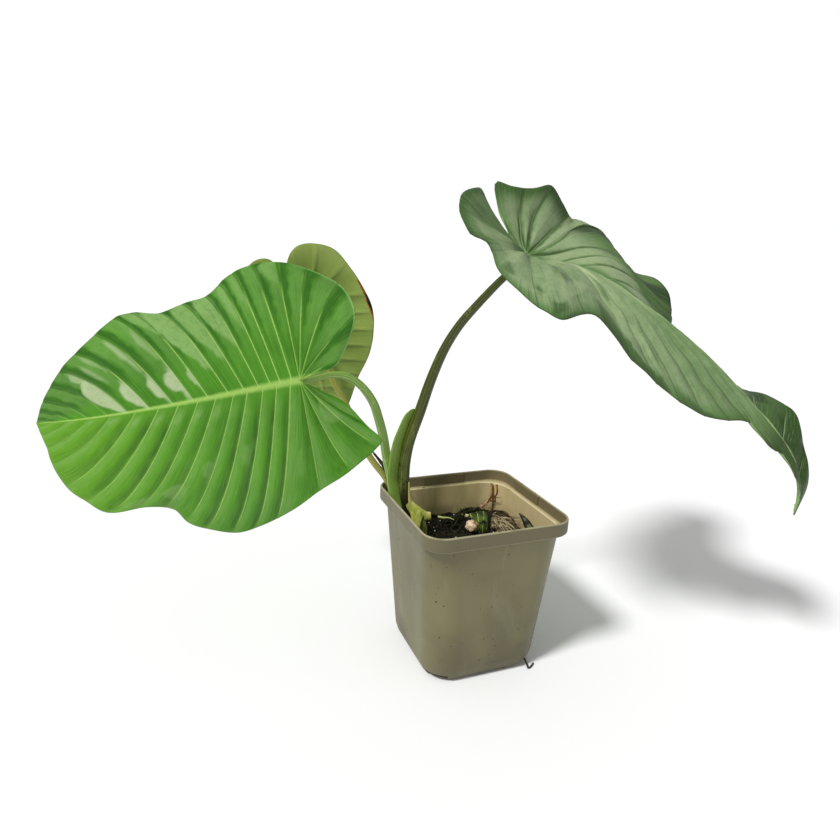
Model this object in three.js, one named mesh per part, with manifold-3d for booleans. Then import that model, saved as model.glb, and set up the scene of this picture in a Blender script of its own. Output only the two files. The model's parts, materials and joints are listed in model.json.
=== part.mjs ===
// Potted Adelonema picturatum: a square nursery pot with soil, a creeping rhizome,
// three petioles and three pleated heart-shaped leaves. Millimetres, +Z up.
// The origin is the centre of the pot's base, and the pot's walls face the four axes.

import * as THREE from 'three';
import { mergeVertices } from 'three/addons/utils/BufferGeometryUtils.js';
import Module from 'manifold-3d';

const wasm = await Module();
wasm.setup();

const { sin, cos, abs, min, max, sqrt, exp, round, PI } = Math;
const DEGREE = PI / 180;
const CLEARANCE = 0.3;

// Pot
const POT_HEIGHT = 97.7;
const POT_HALF_AT_RIM = 45;
const POT_HALF_AT_COLLAR = 42.4;
const POT_HALF_AT_FOOT = 35.8;
const POT_HALF_AT_BASE = 29.5;
const COLLAR_HEIGHT = 8.6;
const FOOT_HEIGHT = 8;
const WALL = 1.3;
const FLOOR = 2;
const RIM_CORNER = 12.5;
const WALL_CORNER = 16.5;
const NOTCH_WIDTH = 14;
const NOTCH_HEIGHT = 4.8;
const NOTCH_REACH = 37.5;
const NOTCH_DEPTH = 18;
const GROOVE_WIDTH = 12;
const GROOVE_HEIGHT = 1.2;
const PANEL_LENGTH = 28;
const PANEL_HEIGHT = 5;
const PANEL_THICKNESS = 0.8;
const PANEL_OFFSETS = { right: 8, back: -1.5 };

// Soil
const SOIL_LEVEL = 71.5;
const SOIL_RELIEF = 1.3;
const SOIL_RINGS = 9;

// Leaves
const BLADE_THICKNESS = 0.7;
const PLEAT_FADE = 0.93;
const QUILT_FADE_AT_TIP = 12;
const QUILT_FADE_AT_SINUS = 10;
const STATIONS = [-0.2, 0, 0.1, 0.22, 0.4, 0.6, 0.8, 1];
const VEIN_SHARES = [0, 0.14, 0.3, 0.47, 0.64, 0.8, 0.92, 1];

// A smooth curve through values given at knots, straight beyond its ends.
function smooth(knots, values, x) {
  const last = knots.length - 1;
  const rise = (i, j) => (values[j] - values[i]) / (knots[j] - knots[i]);
  const slope = (i) => rise(max(i - 1, 0), min(i + 1, last));
  if (x <= knots[0]) return values[0] + (x - knots[0]) * slope(0);
  if (x >= knots[last]) return values[last] + (x - knots[last]) * slope(last);
  let i = 0;
  while (knots[i + 1] <= x) i += 1;
  const width = knots[i + 1] - knots[i];
  const s = (x - knots[i]) / width;
  const ahead = s * s * (3 - 2 * s);
  const leave = s * (1 - s) * (1 - s) * width * slope(i);
  const arrive = s * s * (s - 1) * width * slope(i + 1);
  return values[i] * (1 - ahead) + values[i + 1] * ahead + leave + arrive;
}

// Point at share a of the length of a smooth line through flat points.
function alongOutline(points, steps = 400) {
  const knots = [0];
  for (let i = 1; i < points.length; i += 1) {
    const [x0, y0] = points[i - 1];
    const [x1, y1] = points[i];
    knots.push(knots[i - 1] + Math.hypot(x1 - x0, y1 - y0));
  }
  const xs = points.map((p) => p[0]);
  const ys = points.map((p) => p[1]);
  const line = [];
  for (let i = 0; i <= steps; i += 1) {
    const d = (knots.at(-1) * i) / steps;
    line.push(new THREE.Vector3(smooth(knots, xs, d), smooth(knots, ys, d), 0));
  }
  const lengths = [0];
  for (let i = 1; i <= steps; i += 1) lengths.push(lengths[i - 1] + line[i].distanceTo(line[i - 1]));
  return (a) => {
    const d = min(max(a, 0), 1) * lengths[steps];
    let i = 0;
    while (i < steps - 1 && lengths[i + 1] < d) i += 1;
    const s = (d - lengths[i]) / (lengths[i + 1] - lengths[i]);
    return line[i].clone().lerp(line[i + 1], s);
  };
}

// The solid of a closed list of triangles, given by their corner points.
function solidOf(triangles) {
  const positions = [];
  for (const corners of triangles) {
    const [a, b, c] = corners;
    if (a.distanceTo(b) < 1e-3 || b.distanceTo(c) < 1e-3 || c.distanceTo(a) < 1e-3) continue;
    for (const p of corners) positions.push(p.x, p.y, p.z);
  }
  const geometry = new THREE.BufferGeometry();
  geometry.setAttribute('position', new THREE.Float32BufferAttribute(positions, 3));
  return mergeVertices(geometry, 1e-3);
}

// A solid through rings of equal count, closed by a point in the middle of its first and last ring.
function loft(rings) {
  const triangles = [];
  const count = rings[0].length;
  for (let r = 0; r + 1 < rings.length; r += 1) {
    for (let i = 0; i < count; i += 1) {
      const j = (i + 1) % count;
      triangles.push([rings[r][i], rings[r][j], rings[r + 1][j]]);
      triangles.push([rings[r][i], rings[r + 1][j], rings[r + 1][i]]);
    }
  }
  const middleOf = (ring) => {
    const middle = new THREE.Vector3();
    for (const p of ring) middle.add(p);
    return middle.divideScalar(ring.length);
  };
  const first = rings[0];
  const last = rings.at(-1);
  const firstMiddle = middleOf(first);
  const lastMiddle = middleOf(last);
  for (let i = 0; i < count; i += 1) {
    const j = (i + 1) % count;
    triangles.push([firstMiddle, first[j], first[i]]);
    triangles.push([lastMiddle, last[i], last[j]]);
  }
  return solidOf(triangles);
}

// Points of a rounded square of half-width half at height z, against the clock seen from above.
function squareRing(half, corner, z, cornerSteps = 5, sideSteps = 1) {
  const ring = [];
  for (let side = 0; side < 4; side += 1) {
    const turn = (side * PI) / 2;
    const centre = new THREE.Vector2(half - corner, half - corner).rotateAround(new THREE.Vector2(), turn);
    for (let i = 0; i <= cornerSteps; i += 1) {
      const angle = turn + (PI / 2) * (i / cornerSteps);
      ring.push(new THREE.Vector3(centre.x + corner * cos(angle), centre.y + corner * sin(angle), z));
    }
    const start = ring.at(-1);
    const next = turn + PI / 2;
    const past = new THREE.Vector2(half - corner, half - corner).rotateAround(new THREE.Vector2(), next);
    const end = new THREE.Vector3(past.x + corner * cos(next), past.y + corner * sin(next), z);
    for (let i = 1; i < sideSteps; i += 1) ring.push(start.clone().lerp(end, i / sideSteps));
  }
  return ring;
}

// Manifold solid of a three.js geometry, and back.
function toManifold(geometry) {
  const bare = geometry.clone();
  for (const name of Object.keys(bare.attributes)) {
    if (name !== 'position') bare.deleteAttribute(name);
  }
  const welded = mergeVertices(bare, 1e-3);
  const vertProperties = new Float32Array(welded.attributes.position.array);
  const triVerts = new Uint32Array(welded.index.array);
  return new wasm.Manifold(new wasm.Mesh({ numProp: 3, vertProperties, triVerts }));
}

function fromManifold(solid) {
  const { vertProperties, triVerts } = solid.getMesh();
  const geometry = new THREE.BufferGeometry();
  geometry.setAttribute('position', new THREE.BufferAttribute(vertProperties, 3));
  geometry.setIndex(new THREE.BufferAttribute(triVerts, 1));
  return geometry;
}

// A cylinder bent along a smooth line through points, its radius worked out by share of its length.
function bentRod(points, radiusAt, { sides = 8, steps = 24, flatness = 1, up = [0, 0, 1] } = {}) {
  const curve = new THREE.CatmullRomCurve3(points.map((p) => new THREE.Vector3(...p)), false, 'centripetal');
  const rod = new THREE.CylinderGeometry(1, 1, 1, sides, steps);
  rod.deleteAttribute('normal');
  rod.deleteAttribute('uv');
  const position = rod.attributes.position;
  const upward = new THREE.Vector3(...up);
  for (let i = 0; i < position.count; i += 1) {
    const share = min(max(position.getY(i) + 0.5, 0), 1);
    const centre = curve.getPointAt(share);
    const tangent = curve.getTangentAt(share);
    const wide = new THREE.Vector3().crossVectors(upward, tangent).normalize();
    const high = new THREE.Vector3().crossVectors(tangent, wide);
    const radius = radiusAt(share);
    centre.addScaledVector(high, position.getX(i) * radius * flatness);
    centre.addScaledVector(wide, position.getZ(i) * radius);
    position.setXYZ(i, centre.x, centre.y, centre.z);
  }
  return mergeVertices(rod, 1e-3);
}

// Steady pseudo-random height of a rough surface, between -1 and 1.
function roughness(x, y) {
  const coarse = sin(x * 0.31 + 1.7 * sin(y * 0.23)) * cos(y * 0.37 - 1.3 * sin(x * 0.19));
  const fine = sin(x * 0.83 + y * 0.61 + 2) * cos(y * 0.97 - x * 0.41);
  return 0.6 * coarse + 0.4 * fine;
}

// Outer and inner half-width of the pot's wall at height z.
function wallHalf(z) {
  const top = POT_HEIGHT - COLLAR_HEIGHT - FOOT_HEIGHT;
  return POT_HALF_AT_FOOT + ((POT_HALF_AT_COLLAR - POT_HALF_AT_FOOT) * (z - FOOT_HEIGHT)) / top;
}

function potGeometry() {
  const collarFoot = POT_HEIGHT - COLLAR_HEIGHT;
  const outside = [
    [0, POT_HALF_AT_BASE, WALL_CORNER - 5.5],
    [1.1, POT_HALF_AT_BASE + 3.1, WALL_CORNER - 3],
    [3.6, POT_HALF_AT_FOOT - 1.3, WALL_CORNER - 1.3],
    [FOOT_HEIGHT, POT_HALF_AT_FOOT, WALL_CORNER - 0.5],
    [collarFoot - 0.4, POT_HALF_AT_COLLAR, WALL_CORNER],
    [collarFoot, POT_HALF_AT_RIM - 0.5, RIM_CORNER + 0.3],
    [collarFoot + 0.7, POT_HALF_AT_RIM, RIM_CORNER],
    [POT_HEIGHT - 0.6, POT_HALF_AT_RIM, RIM_CORNER],
    [POT_HEIGHT, POT_HALF_AT_RIM - 0.5, RIM_CORNER - 0.4],
  ];
  const inside = [
    [POT_HEIGHT, POT_HALF_AT_RIM - WALL, RIM_CORNER - WALL],
    [collarFoot + 1.8, POT_HALF_AT_RIM - WALL - 0.4, RIM_CORNER - WALL],
    [collarFoot + 1.3, POT_HALF_AT_COLLAR - WALL, WALL_CORNER - WALL],
    [FOOT_HEIGHT, POT_HALF_AT_FOOT - WALL, WALL_CORNER - WALL - 0.5],
    [FLOOR, POT_HALF_AT_BASE, WALL_CORNER - 5.5],
  ];
  const rings = [...outside, ...inside].map(([z, half, corner]) => squareRing(half, corner, z));
  let pot = toManifold(loft(rings));
  for (let corner = 0; corner < 4; corner += 1) {
    const notch = new THREE.BoxGeometry(NOTCH_DEPTH, NOTCH_WIDTH, 2 * NOTCH_HEIGHT);
    notch.translate(NOTCH_REACH + NOTCH_DEPTH / 2, 0, 0);
    notch.rotateZ(PI / 4 + (corner * PI) / 2);
    pot = pot.subtract(toManifold(notch));
    const groove = new THREE.BoxGeometry(GROOVE_WIDTH, GROOVE_WIDTH, 2 * GROOVE_HEIGHT);
    groove.translate(POT_HALF_AT_BASE + GROOVE_WIDTH / 4, 0, 0);
    groove.rotateZ((corner * PI) / 2);
    pot = pot.subtract(toManifold(groove));
  }
  const innerCollar = POT_HALF_AT_RIM - WALL - 0.2;
  for (const [turn, offset] of [[0, PANEL_OFFSETS.right], [PI / 2, PANEL_OFFSETS.back]]) {
    const panel = new THREE.BoxGeometry(2 * PANEL_THICKNESS, PANEL_LENGTH, PANEL_HEIGHT);
    panel.translate(innerCollar, offset, POT_HEIGHT - 1 - PANEL_HEIGHT / 2);
    panel.rotateZ(turn);
    pot = pot.add(toManifold(panel));
  }
  return fromManifold(pot);
}

// Soil that fills the pot, with crumbs on top; holes for what stands in it are cut later.
function soilGeometry() {
  const rings = [];
  const fit = WALL + CLEARANCE;
  rings.push(squareRing(POT_HALF_AT_BASE - 1, WALL_CORNER - 5.5, FLOOR + CLEARANCE, 4, 3));
  rings.push(squareRing(POT_HALF_AT_FOOT - fit - 0.2, WALL_CORNER - 1.8, FOOT_HEIGHT + 0.3, 4, 3));
  rings.push(squareRing(wallHalf(SOIL_LEVEL - 2) - fit - 0.1, WALL_CORNER - 1.8, SOIL_LEVEL - 2, 4, 3));
  const edge = wallHalf(SOIL_LEVEL) - fit - 0.6;
  for (let ring = 0; ring < SOIL_RINGS; ring += 1) {
    const half = edge * (1 - ring / SOIL_RINGS);
    const corner = (WALL_CORNER - 2) * (half / edge);
    const points = squareRing(half, corner, SOIL_LEVEL, 4, 3);
    for (const p of points) p.z += SOIL_RELIEF * roughness(p.x, p.y);
    rings.push(points);
  }
  return loft(rings);
}

// The rhizome: buried at its middle, ringed by old leaf scars, turned up at the growing end, with a stub.
const RHIZOME_LINE = [[-29.5, 22.5, 78.3], [-29.5, 22.5, 76.3], [-29, 22.5, 71], [-24, 22.5, 63.5],
  [-14, 22, 60.5], [-3, 20, 61.5], [6, 18, 67], [14, 15.5, 72], [22, 12, 73], [29, 9, 71.5], [33, 7, 69]];
const RHIZOME_RADIUS = 8.4;
const SCAR_COUNT = 15;
const SCAR_HEIGHT = 0.5;
const STUB_LINE = [[13, 15, 72], [8, 10.5, 75], [4.8, 6.5, 77.3]];
const STUB_RADIUS = 3.8;

function rhizomeSolid(extra) {
  const radiusAt = (s) => {
    const body = RHIZOME_RADIUS - s + 0.6 * sin(19 * s);
    const scar = SCAR_HEIGHT * abs(sin(s * SCAR_COUNT * PI));
    const end = s > 0.92 ? sqrt(max(0.12, 1 - ((s - 0.92) / 0.08) ** 2)) : 1;
    return (body + scar) * end + extra;
  };
  const body = bentRod(RHIZOME_LINE, radiusAt, { sides: 12, steps: 34, up: [0, 1, 0] });
  const stub = bentRod(STUB_LINE, (s) => STUB_RADIUS - 0.5 * s + extra, { sides: 10, steps: 4 });
  return toManifold(body).add(toManifold(stub));
}

// Frames along a leaf's midrib: point, side and normal at distance u from the petiole.
function midrib(leaf) {
  const knots = STATIONS.map((share) => share * leaf.length);
  const angle = (name, u) => smooth(knots, leaf[name], u) * DEGREE;
  const heading = (u) => {
    const yaw = angle('yaw', u);
    const pitch = angle('pitch', u);
    return new THREE.Vector3(cos(pitch) * cos(yaw), cos(pitch) * sin(yaw), sin(pitch));
  };
  const step = 1;
  const pointAt = (u) => {
    const count = max(1, round(abs(u) / step));
    const point = new THREE.Vector3(...leaf.attach);
    for (let i = 0; i < count; i += 1) point.addScaledVector(heading((u * (i + 0.5)) / count), u / count);
    return point;
  };
  return (u) => {
    const along = heading(u);
    const yaw = angle('yaw', u);
    const roll = angle('roll', u);
    const level = new THREE.Vector3(-sin(yaw), cos(yaw), 0);
    const raised = new THREE.Vector3().crossVectors(along, level);
    const side = level.multiplyScalar(cos(roll)).addScaledVector(raised, sin(roll));
    return { point: pointAt(u), side, normal: new THREE.Vector3().crossVectors(along, side) };
  };
}

// The blade's middle surface: v is measured outwards from the midrib along a bent cross-section.
function bladeSurface(leaf) {
  const rib = midrib(leaf);
  const knots = STATIONS.map((share) => share * leaf.length);
  const memory = new Map();
  const frameAt = (u) => {
    if (!memory.has(u)) memory.set(u, rib(u));
    return memory.get(u);
  };
  return (half, u, v) => {
    const { point, side, normal } = frameAt(u);
    const fold = smooth(knots, half.fold, u) * DEGREE;
    const rawCurl = (smooth(knots, half.curl, u) * DEGREE) / 100;
    const curl = abs(rawCurl) < 1e-5 ? 1e-5 : rawCurl;
    const out = (sin(fold + curl * v) - sin(fold)) / curl;
    const lift = (cos(fold) - cos(fold + curl * v)) / curl;
    return point.clone().addScaledVector(side, half.sign * out).addScaledVector(normal, lift);
  };
}

// Height of the quilted blade over its smooth surface at vein number q and share t of the way out.
function reliefAt(leaf, half, q, a, t) {
  const share = q % 1;
  const arch = 2 * min(share, 1 - share) - 0.5;
  const ends = min(1, QUILT_FADE_AT_TIP * (1 - a)) * min(1, QUILT_FADE_AT_SINUS * a);
  let height = leaf.pleat * arch * sin(PLEAT_FADE * PI * t ** 0.7) * ends;
  for (const [at, width, lift] of half.waves) height += lift * exp(-(((a - at) / width) ** 2)) * t ** 3;
  return height;
}

// A value given at the first vein, at the petiole and at the tip, for the veins between them.
function layout([first, middle, last], fanned, ribbed) {
  return ribbed > 0 ? middle + (last - middle) * ribbed : first + (middle - first) * fanned;
}

// A closed pleated blade with a keel under its midrib.
function bladeGeometry(leaf) {
  const surface = bladeSurface(leaf);
  const rib = midrib(leaf);
  const veins = leaf.fanVeins + leaf.ribVeins;
  const rows = 2 * veins;
  const triangles = [];
  for (const half of leaf.halves) {
    const outline = alongOutline(half.margin);
    const upper = [];
    const lower = [];
    for (let row = 0; row <= rows; row += 1) {
      const q = row / 2;
      const fanned = min(1, q / leaf.fanVeins);
      const ribbed = max(0, q - leaf.fanVeins) / leaf.ribVeins;
      const a = half.fanShare * fanned + (1 - half.fanShare) * (1 - (1 - ribbed) ** half.lead);
      const base = leaf.length * ribbed;
      const end = outline(a);
      const bendU = base + (end.x - base) * layout(half.sweep, fanned, ribbed);
      const bendV = end.y * layout(half.bend, fanned, ribbed);
      const upperRow = [];
      const lowerRow = [];
      for (const t of VEIN_SHARES) {
        const u = base * (1 - t) ** 2 + 2 * t * (1 - t) * bendU + end.x * t * t;
        const v = 2 * t * (1 - t) * bendV + end.y * t * t;
        const point = surface(half, u, v);
        let normal = rib(u).normal;
        if (t > 0 && v > 0.5) {
          const alongU = surface(half, u + 0.5, v).sub(surface(half, u - 0.5, v));
          const alongV = surface(half, u, v + 0.5).sub(surface(half, u, v - 0.5));
          normal = alongU.cross(alongV).multiplyScalar(half.sign).normalize();
          point.addScaledVector(normal, reliefAt(leaf, half, q, a, t));
        }
        const keel = t === 0 ? leaf.keel * (1 - u / leaf.length) ** 0.7 : 0;
        upperRow.push(point.clone().addScaledVector(normal, BLADE_THICKNESS / 2));
        lowerRow.push(point.clone().addScaledVector(normal, -BLADE_THICKNESS / 2 - keel));
      }
      upper.push(upperRow);
      lower.push(lowerRow);
    }
    const columns = VEIN_SHARES.length - 1;
    const add = (a, b, c) => triangles.push(half.sign > 0 ? [a, b, c] : [a, c, b]);
    for (let row = 0; row < rows; row += 1) {
      for (let column = 0; column < columns; column += 1) {
        for (const [face, flip] of [[upper, false], [lower, true]]) {
          const p = face[row][column];
          const q = face[row + 1][column];
          const r = face[row + 1][column + 1];
          const s = face[row][column + 1];
          if (flip) {
            add(p, r, q);
            add(p, s, r);
          } else {
            add(p, q, r);
            add(p, r, s);
          }
        }
      }
      const edge = upper[row][columns];
      const across = lower[row + 1][columns];
      add(edge, upper[row + 1][columns], across);
      add(edge, across, lower[row][columns]);
    }
  }
  return solidOf(triangles);
}

const leafFront = {
  attach: [-96, 29, 168],
  length: 148,
  yaw: [176, 174, 172, 169, 165, 160, 153, 145],
  pitch: [-10, -10, -11, -12, -12, -12, -11, -9],
  roll: [-64, -64, -64, -63, -62, -62, -62, -64],
  fanVeins: 6,
  ribVeins: 14,
  pleat: 1.3,
  keel: 1.8,
  halves: [
    {
      sign: 1,
      fanShare: 0.43,
      lead: 1.53,
      sweep: [0.45, 0.65, 0.6],
      bend: [0.55, 0.9, 0.9],
      fold: [-6, -6, -6, -6, -5, -4, -2, 0],
      curl: [-10, -10, -12, -16, -18, -16, -12, -10],
      waves: [[0.3, 0.03, 2.5], [0.66, 0.03, -3], [0.9, 0.03, 2.5]],
      margin: [[0, 0], [-12, 9], [-22, 17], [-32, 33], [-38, 42], [-34, 46], [-27, 50], [-12, 57], [3, 63],
        [17, 69], [31, 73], [48, 75], [62, 70], [72, 64], [78, 56], [90, 52], [108, 52], [118, 45], [128, 36],
        [135, 22], [142, 10], [148, 0]],
    },
    {
      sign: -1,
      fanShare: 0.41,
      lead: 1.75,
      sweep: [0.45, 0.74, 0.3],
      bend: [0.55, 1, 0.75],
      fold: [-6, -6, -6, -6, -5, -4, -2, 0],
      curl: [-10, -10, -12, -16, -18, -16, -12, -10],
      waves: [[0.18, 0.04, 5], [0.55, 0.03, -2], [0.7, 0.04, 2.5]],
      margin: [[0, 0], [-12, 2], [-22, 5], [-30, 14], [-38, 27], [-40, 38], [-38, 51], [-30, 60], [-16, 70],
        [0, 76], [14, 77], [27, 75], [42, 67], [60, 62], [74, 58], [92, 60], [104, 59], [119, 47], [133, 34],
        [141, 22], [146, 10], [148, 0]],
    },
  ],
};

const leafRight = {
  attach: [36, 21, 239],
  length: 226,
  yaw: [-40, -40, -40, -41, -42, -43, -45, -48],
  pitch: [-67, -34, 0, -25, -33, -42, -50, -99],
  roll: [0, 0, 0, 0, 0, 0, 0, 0],
  fanVeins: 6,
  ribVeins: 15,
  pleat: 2.4,
  keel: 2.2,
  halves: [
    {
      sign: 1,
      fanShare: 0.61,
      lead: 0.59,
      sweep: [0.45, 0.45, 0.45],
      bend: [0.55, 0.55, 0.55],
      fold: [37, 27, 20, 20, -21, -16, 33, 43],
      curl: [9, -1, 3, -35, 56, -17, 11, 10],
      waves: [],
      margin: [[0, 0], [-13, 1], [-29, 6], [-49, 10], [-44, 22], [-38, 38], [-35, 54], [-16, 61], [4, 66],
        [27, 80], [40, 103], [80, 90], [111, 50], [148, 34], [175, 24], [191, 11], [205, 8], [226, 0]],
    },
    {
      sign: -1,
      fanShare: 0.61,
      lead: 1.83,
      sweep: [0.45, 0.45, 0.45],
      bend: [0.55, 0.55, 0.55],
      fold: [11, 11, 17, -2, -12, -20, -13, 11],
      curl: [-66, -45, -64, -24, -40, -31, -23, -7],
      waves: [],
      margin: [[0, 0], [-15, 1], [-31, 4], [-44, 10], [-45, 26], [-41, 48], [-22, 60], [-14, 53], [4, 72],
        [40, 90], [58, 60], [105, 52], [142, 38], [161, 15], [175, 19], [185, 12], [195, 14], [226, 0]],
    },
  ],
};

const leafBack = {
  attach: [-83, 90, 203],
  length: 92,
  yaw: [-14, -14, -14, -14, -14, -14, -14, -14],
  pitch: [-57, -69, -72, -74, -76, -79, -82, -85],
  roll: [-79, -79, -79, -79, -79, -79, -79, -79],
  fanVeins: 5,
  ribVeins: 10,
  pleat: 0.9,
  keel: 1.4,
  halves: [
    {
      sign: 1,
      fanShare: 0.46,
      lead: 1,
      sweep: [0.45, 0.45, 0.45],
      bend: [0.55, 0.55, 0.55],
      fold: [-10, -6, -4, -4, -4, -4, -3, -2],
      curl: [-30, -30, -30, -30, -30, -26, -20, -10],
      waves: [],
      margin: [[0, 0], [-12, 0.7], [-24, 1], [-31, 1.5], [-35.5, 5], [-38, 11], [-36.5, 22], [-30.5, 33.5],
        [-17, 43], [0, 47], [16, 46], [32, 40.5], [50, 30], [66, 19], [80, 9], [92, 0]],
    },
    {
      sign: -1,
      fanShare: 0.46,
      lead: 1,
      sweep: [0.45, 0.45, 0.45],
      bend: [0.55, 0.55, 0.55],
      fold: [-10, -6, -4, -4, -4, -4, -3, -2],
      curl: [-30, -30, -30, -30, -30, -26, -20, -10],
      waves: [],
      margin: [[0, 0], [-10, 1.5], [-22, 4], [-27, 11], [-28, 19], [-25, 28], [-18, 38], [-7, 42], [6, 45],
        [17, 45], [29, 41], [40, 35], [52, 25], [66, 17], [80, 9], [92, 0]],
    },
  ],
};

// Rods: petioles, sheaths and roots, each a line with a radius at its foot, its middle and its top
const RODS = {
  petiole_right: {
    radii: [3.7, 3.1, 2],
    sides: 10,
    steps: 30,
    line: [[-25.8, 22.5, 79], [-25.9, 22.6, 80.5], [-27, 23, 85], [-29.7, 24.6, 92], [-30.7, 27.5, 103],
      [-30.6, 30, 115], [-27.3, 31.5, 127], [-21.6, 32.6, 145.5], [-15.3, 33.4, 164], [-7.7, 33.6, 182],
      [0.6, 31.6, 197], [10.2, 28.2, 210], [21, 25.5, 222.5], [29.4, 23, 231.2], [34.6, 22.1, 236.6]],
  },
  right_wing: {
    radii: [1.8, 4, 2.7],
    flatness: 0.6,
    sides: 8,
    steps: 10,
    line: [[-33, 25.6, 97], [-35.4, 28.3, 105], [-35.9, 30.6, 114], [-34.6, 32.1, 123], [-32.1, 33, 132],
      [-29.1, 33.3, 139.4], [-26.6, 33.4, 144.2]],
  },
  petiole_front: {
    radii: [2.4, 2.7, 1.5],
    sides: 10,
    steps: 30,
    line: [[-33, 19.2, 79], [-33.1, 19.2, 80.5], [-34.2, 19.8, 85], [-36.8, 21.6, 93], [-41.2, 25.4, 104.8],
      [-43.9, 27.3, 117.3], [-46.1, 27.7, 129.9], [-49.3, 28.4, 142.3], [-53.5, 28.2, 153.6],
      [-60.5, 28.8, 163.2], [-68.5, 30.6, 168.6], [-77, 31.8, 169.8], [-85.5, 31.9, 168.4], [-94, 31.2, 167]],
  },
  petiole_back: {
    radii: [2.1, 1.9, 1.6],
    sides: 8,
    steps: 26,
    line: [[-32.8, 27, 79], [-32.9, 27.1, 80.5], [-34, 27.8, 85], [-37.6, 30.6, 94], [-41.8, 35, 103],
      [-50, 41.5, 114.9], [-55.9, 48.4, 129.3], [-62.1, 56.5, 146.6], [-67.2, 61.8, 157],
      [-74.3, 71.6, 175.3], [-80, 80.6, 192], [-83.2, 86, 200.4]],
  },
  old_sheath: {
    radii: [3, 2.8, 1.9],
    flatness: 0.7,
    sides: 8,
    steps: 14,
    line: [[-28, 10, 67], [-27.9, 10.3, 76], [-27.4, 12.6, 83], [-25.4, 14.3, 87.2], [-22.6, 13.4, 87.2],
      [-20.6, 11.8, 84.8]],
  },
  dried_sheath: {
    radii: [0.6, 1.1, 0.6],
    sides: 6,
    steps: 12,
    line: [[-38.2, 29.8, 98.6], [-39, 32, 102.5], [-41.2, 35.4, 107], [-43.6, 38.2, 111.7],
      [-47.2, 44.3, 116.9]],
  },
  corner_root: {
    radii: [1.9, 1.1, 0.7],
    sides: 8,
    steps: 20,
    line: [[8, 29.5, 69], [15, 28.6, 73.2], [23.3, 31.2, 76.7], [30, 33.2, 79.5], [32.8, 34.6, 84],
      [33.4, 36.2, 91]],
  },
  stem_scale: {
    radii: [3.6, 3.2, 0.5],
    flatness: 0.25,
    sides: 8,
    steps: 12,
    line: [[33.6, -16.5, 67], [33.6, -16, 79], [33.2, -12.5, 83], [32.6, -8, 85.5], [32.3, -3.5, 86.6]],
  },
  surface_root: {
    radii: [0.7, 0.7, 0.7],
    sides: 6,
    steps: 16,
    line: [[19, 11, 82.9], [24.5, 11.2, 82.9], [28.6, 8.6, 81.8], [32.6, 3.2, 79], [32.5, -4, 74],
      [31, -8, 67]],
  },
  drain_root: {
    radii: [0.55, 0.55, 0.55],
    sides: 6,
    steps: 10,
    line: [[27.2, -27.2, 3.6], [28.6, -30.4, 2.6], [28.4, -34.5, 1], [27.8, -37, 0.62], [29.8, -36.4, 0.62],
      [33, -34, 0.62]],
  },
};
const IN_SOIL = ['old_sheath', 'corner_root', 'stem_scale', 'surface_root'];

// One of the rods; extra widens a copy that cuts its hole.
function rodGeometry(name, extra = 0) {
  const { line, radii, sides, steps, flatness = 1 } = RODS[name];
  const radiusAt = (share) => smooth([0, 0.5, 1], radii, share) + extra;
  return bentRod(line, radiusAt, { sides, steps, flatness, up: [0, 1, 0] });
}

function finish(color, roughnessValue, metalness = 0) {
  return new THREE.MeshStandardMaterial({ color, roughness: roughnessValue, metalness });
}

const plant = new THREE.Group();

function place(name, geometry, material) {
  const mesh = new THREE.Mesh(geometry, material);
  mesh.name = name;
  plant.add(mesh);
}

const potPlastic = finish(0x77704f, 0.5);
const soilMix = finish(0x1c1916, 0.95);
const rhizomeSkin = finish(0x6d7a3a, 0.6);
const petioleGreen = finish(0x5f7a34, 0.45);
const petiolePale = finish(0x86a552, 0.45);
const petioleYellow = finish(0x9a9a55, 0.5);
const bladeGreen = finish(0x4a8f33, 0.4);
const bladeGrey = finish(0x5d7f55, 0.4);
const bladeUnderside = finish(0x87964a, 0.55);
const sheathYellow = finish(0xa7a544, 0.55);
const driedBlack = finish(0x191510, 0.8);
const driedBrown = finish(0x8a5a2b, 0.75);

place('pot', potGeometry(), potPlastic);

const soilHoleClearance = CLEARANCE + 0.05;
let soil = toManifold(soilGeometry()).subtract(rhizomeSolid(soilHoleClearance));
for (const name of IN_SOIL) soil = soil.subtract(toManifold(rodGeometry(name, soilHoleClearance)));
place('soil', fromManifold(soil), soilMix);
place('rhizome', fromManifold(rhizomeSolid(0)), rhizomeSkin);

const rightPetiole = toManifold(rodGeometry('petiole_right')).add(toManifold(rodGeometry('right_wing')));
place('petiole_right', fromManifold(rightPetiole), petioleGreen);
place('petiole_front', rodGeometry('petiole_front'), petiolePale);
place('petiole_back', rodGeometry('petiole_back'), petioleYellow);
place('old_sheath', rodGeometry('old_sheath'), sheathYellow);
place('dried_sheath', rodGeometry('dried_sheath'), driedBlack);
place('corner_root', rodGeometry('corner_root'), driedBrown);
place('stem_scale', rodGeometry('stem_scale'), driedBlack);
place('surface_root', rodGeometry('surface_root'), driedBrown);
place('drain_root', rodGeometry('drain_root'), driedBlack);

place('leaf_front', bladeGeometry(leafFront), bladeGreen);
place('leaf_right', bladeGeometry(leafRight), bladeGrey);
place('leaf_back', bladeGeometry(leafBack), bladeUnderside);

export default plant;
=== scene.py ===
import json
import math

import bmesh
import bpy
import numpy as np
from mathutils import Matrix, Vector

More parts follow.
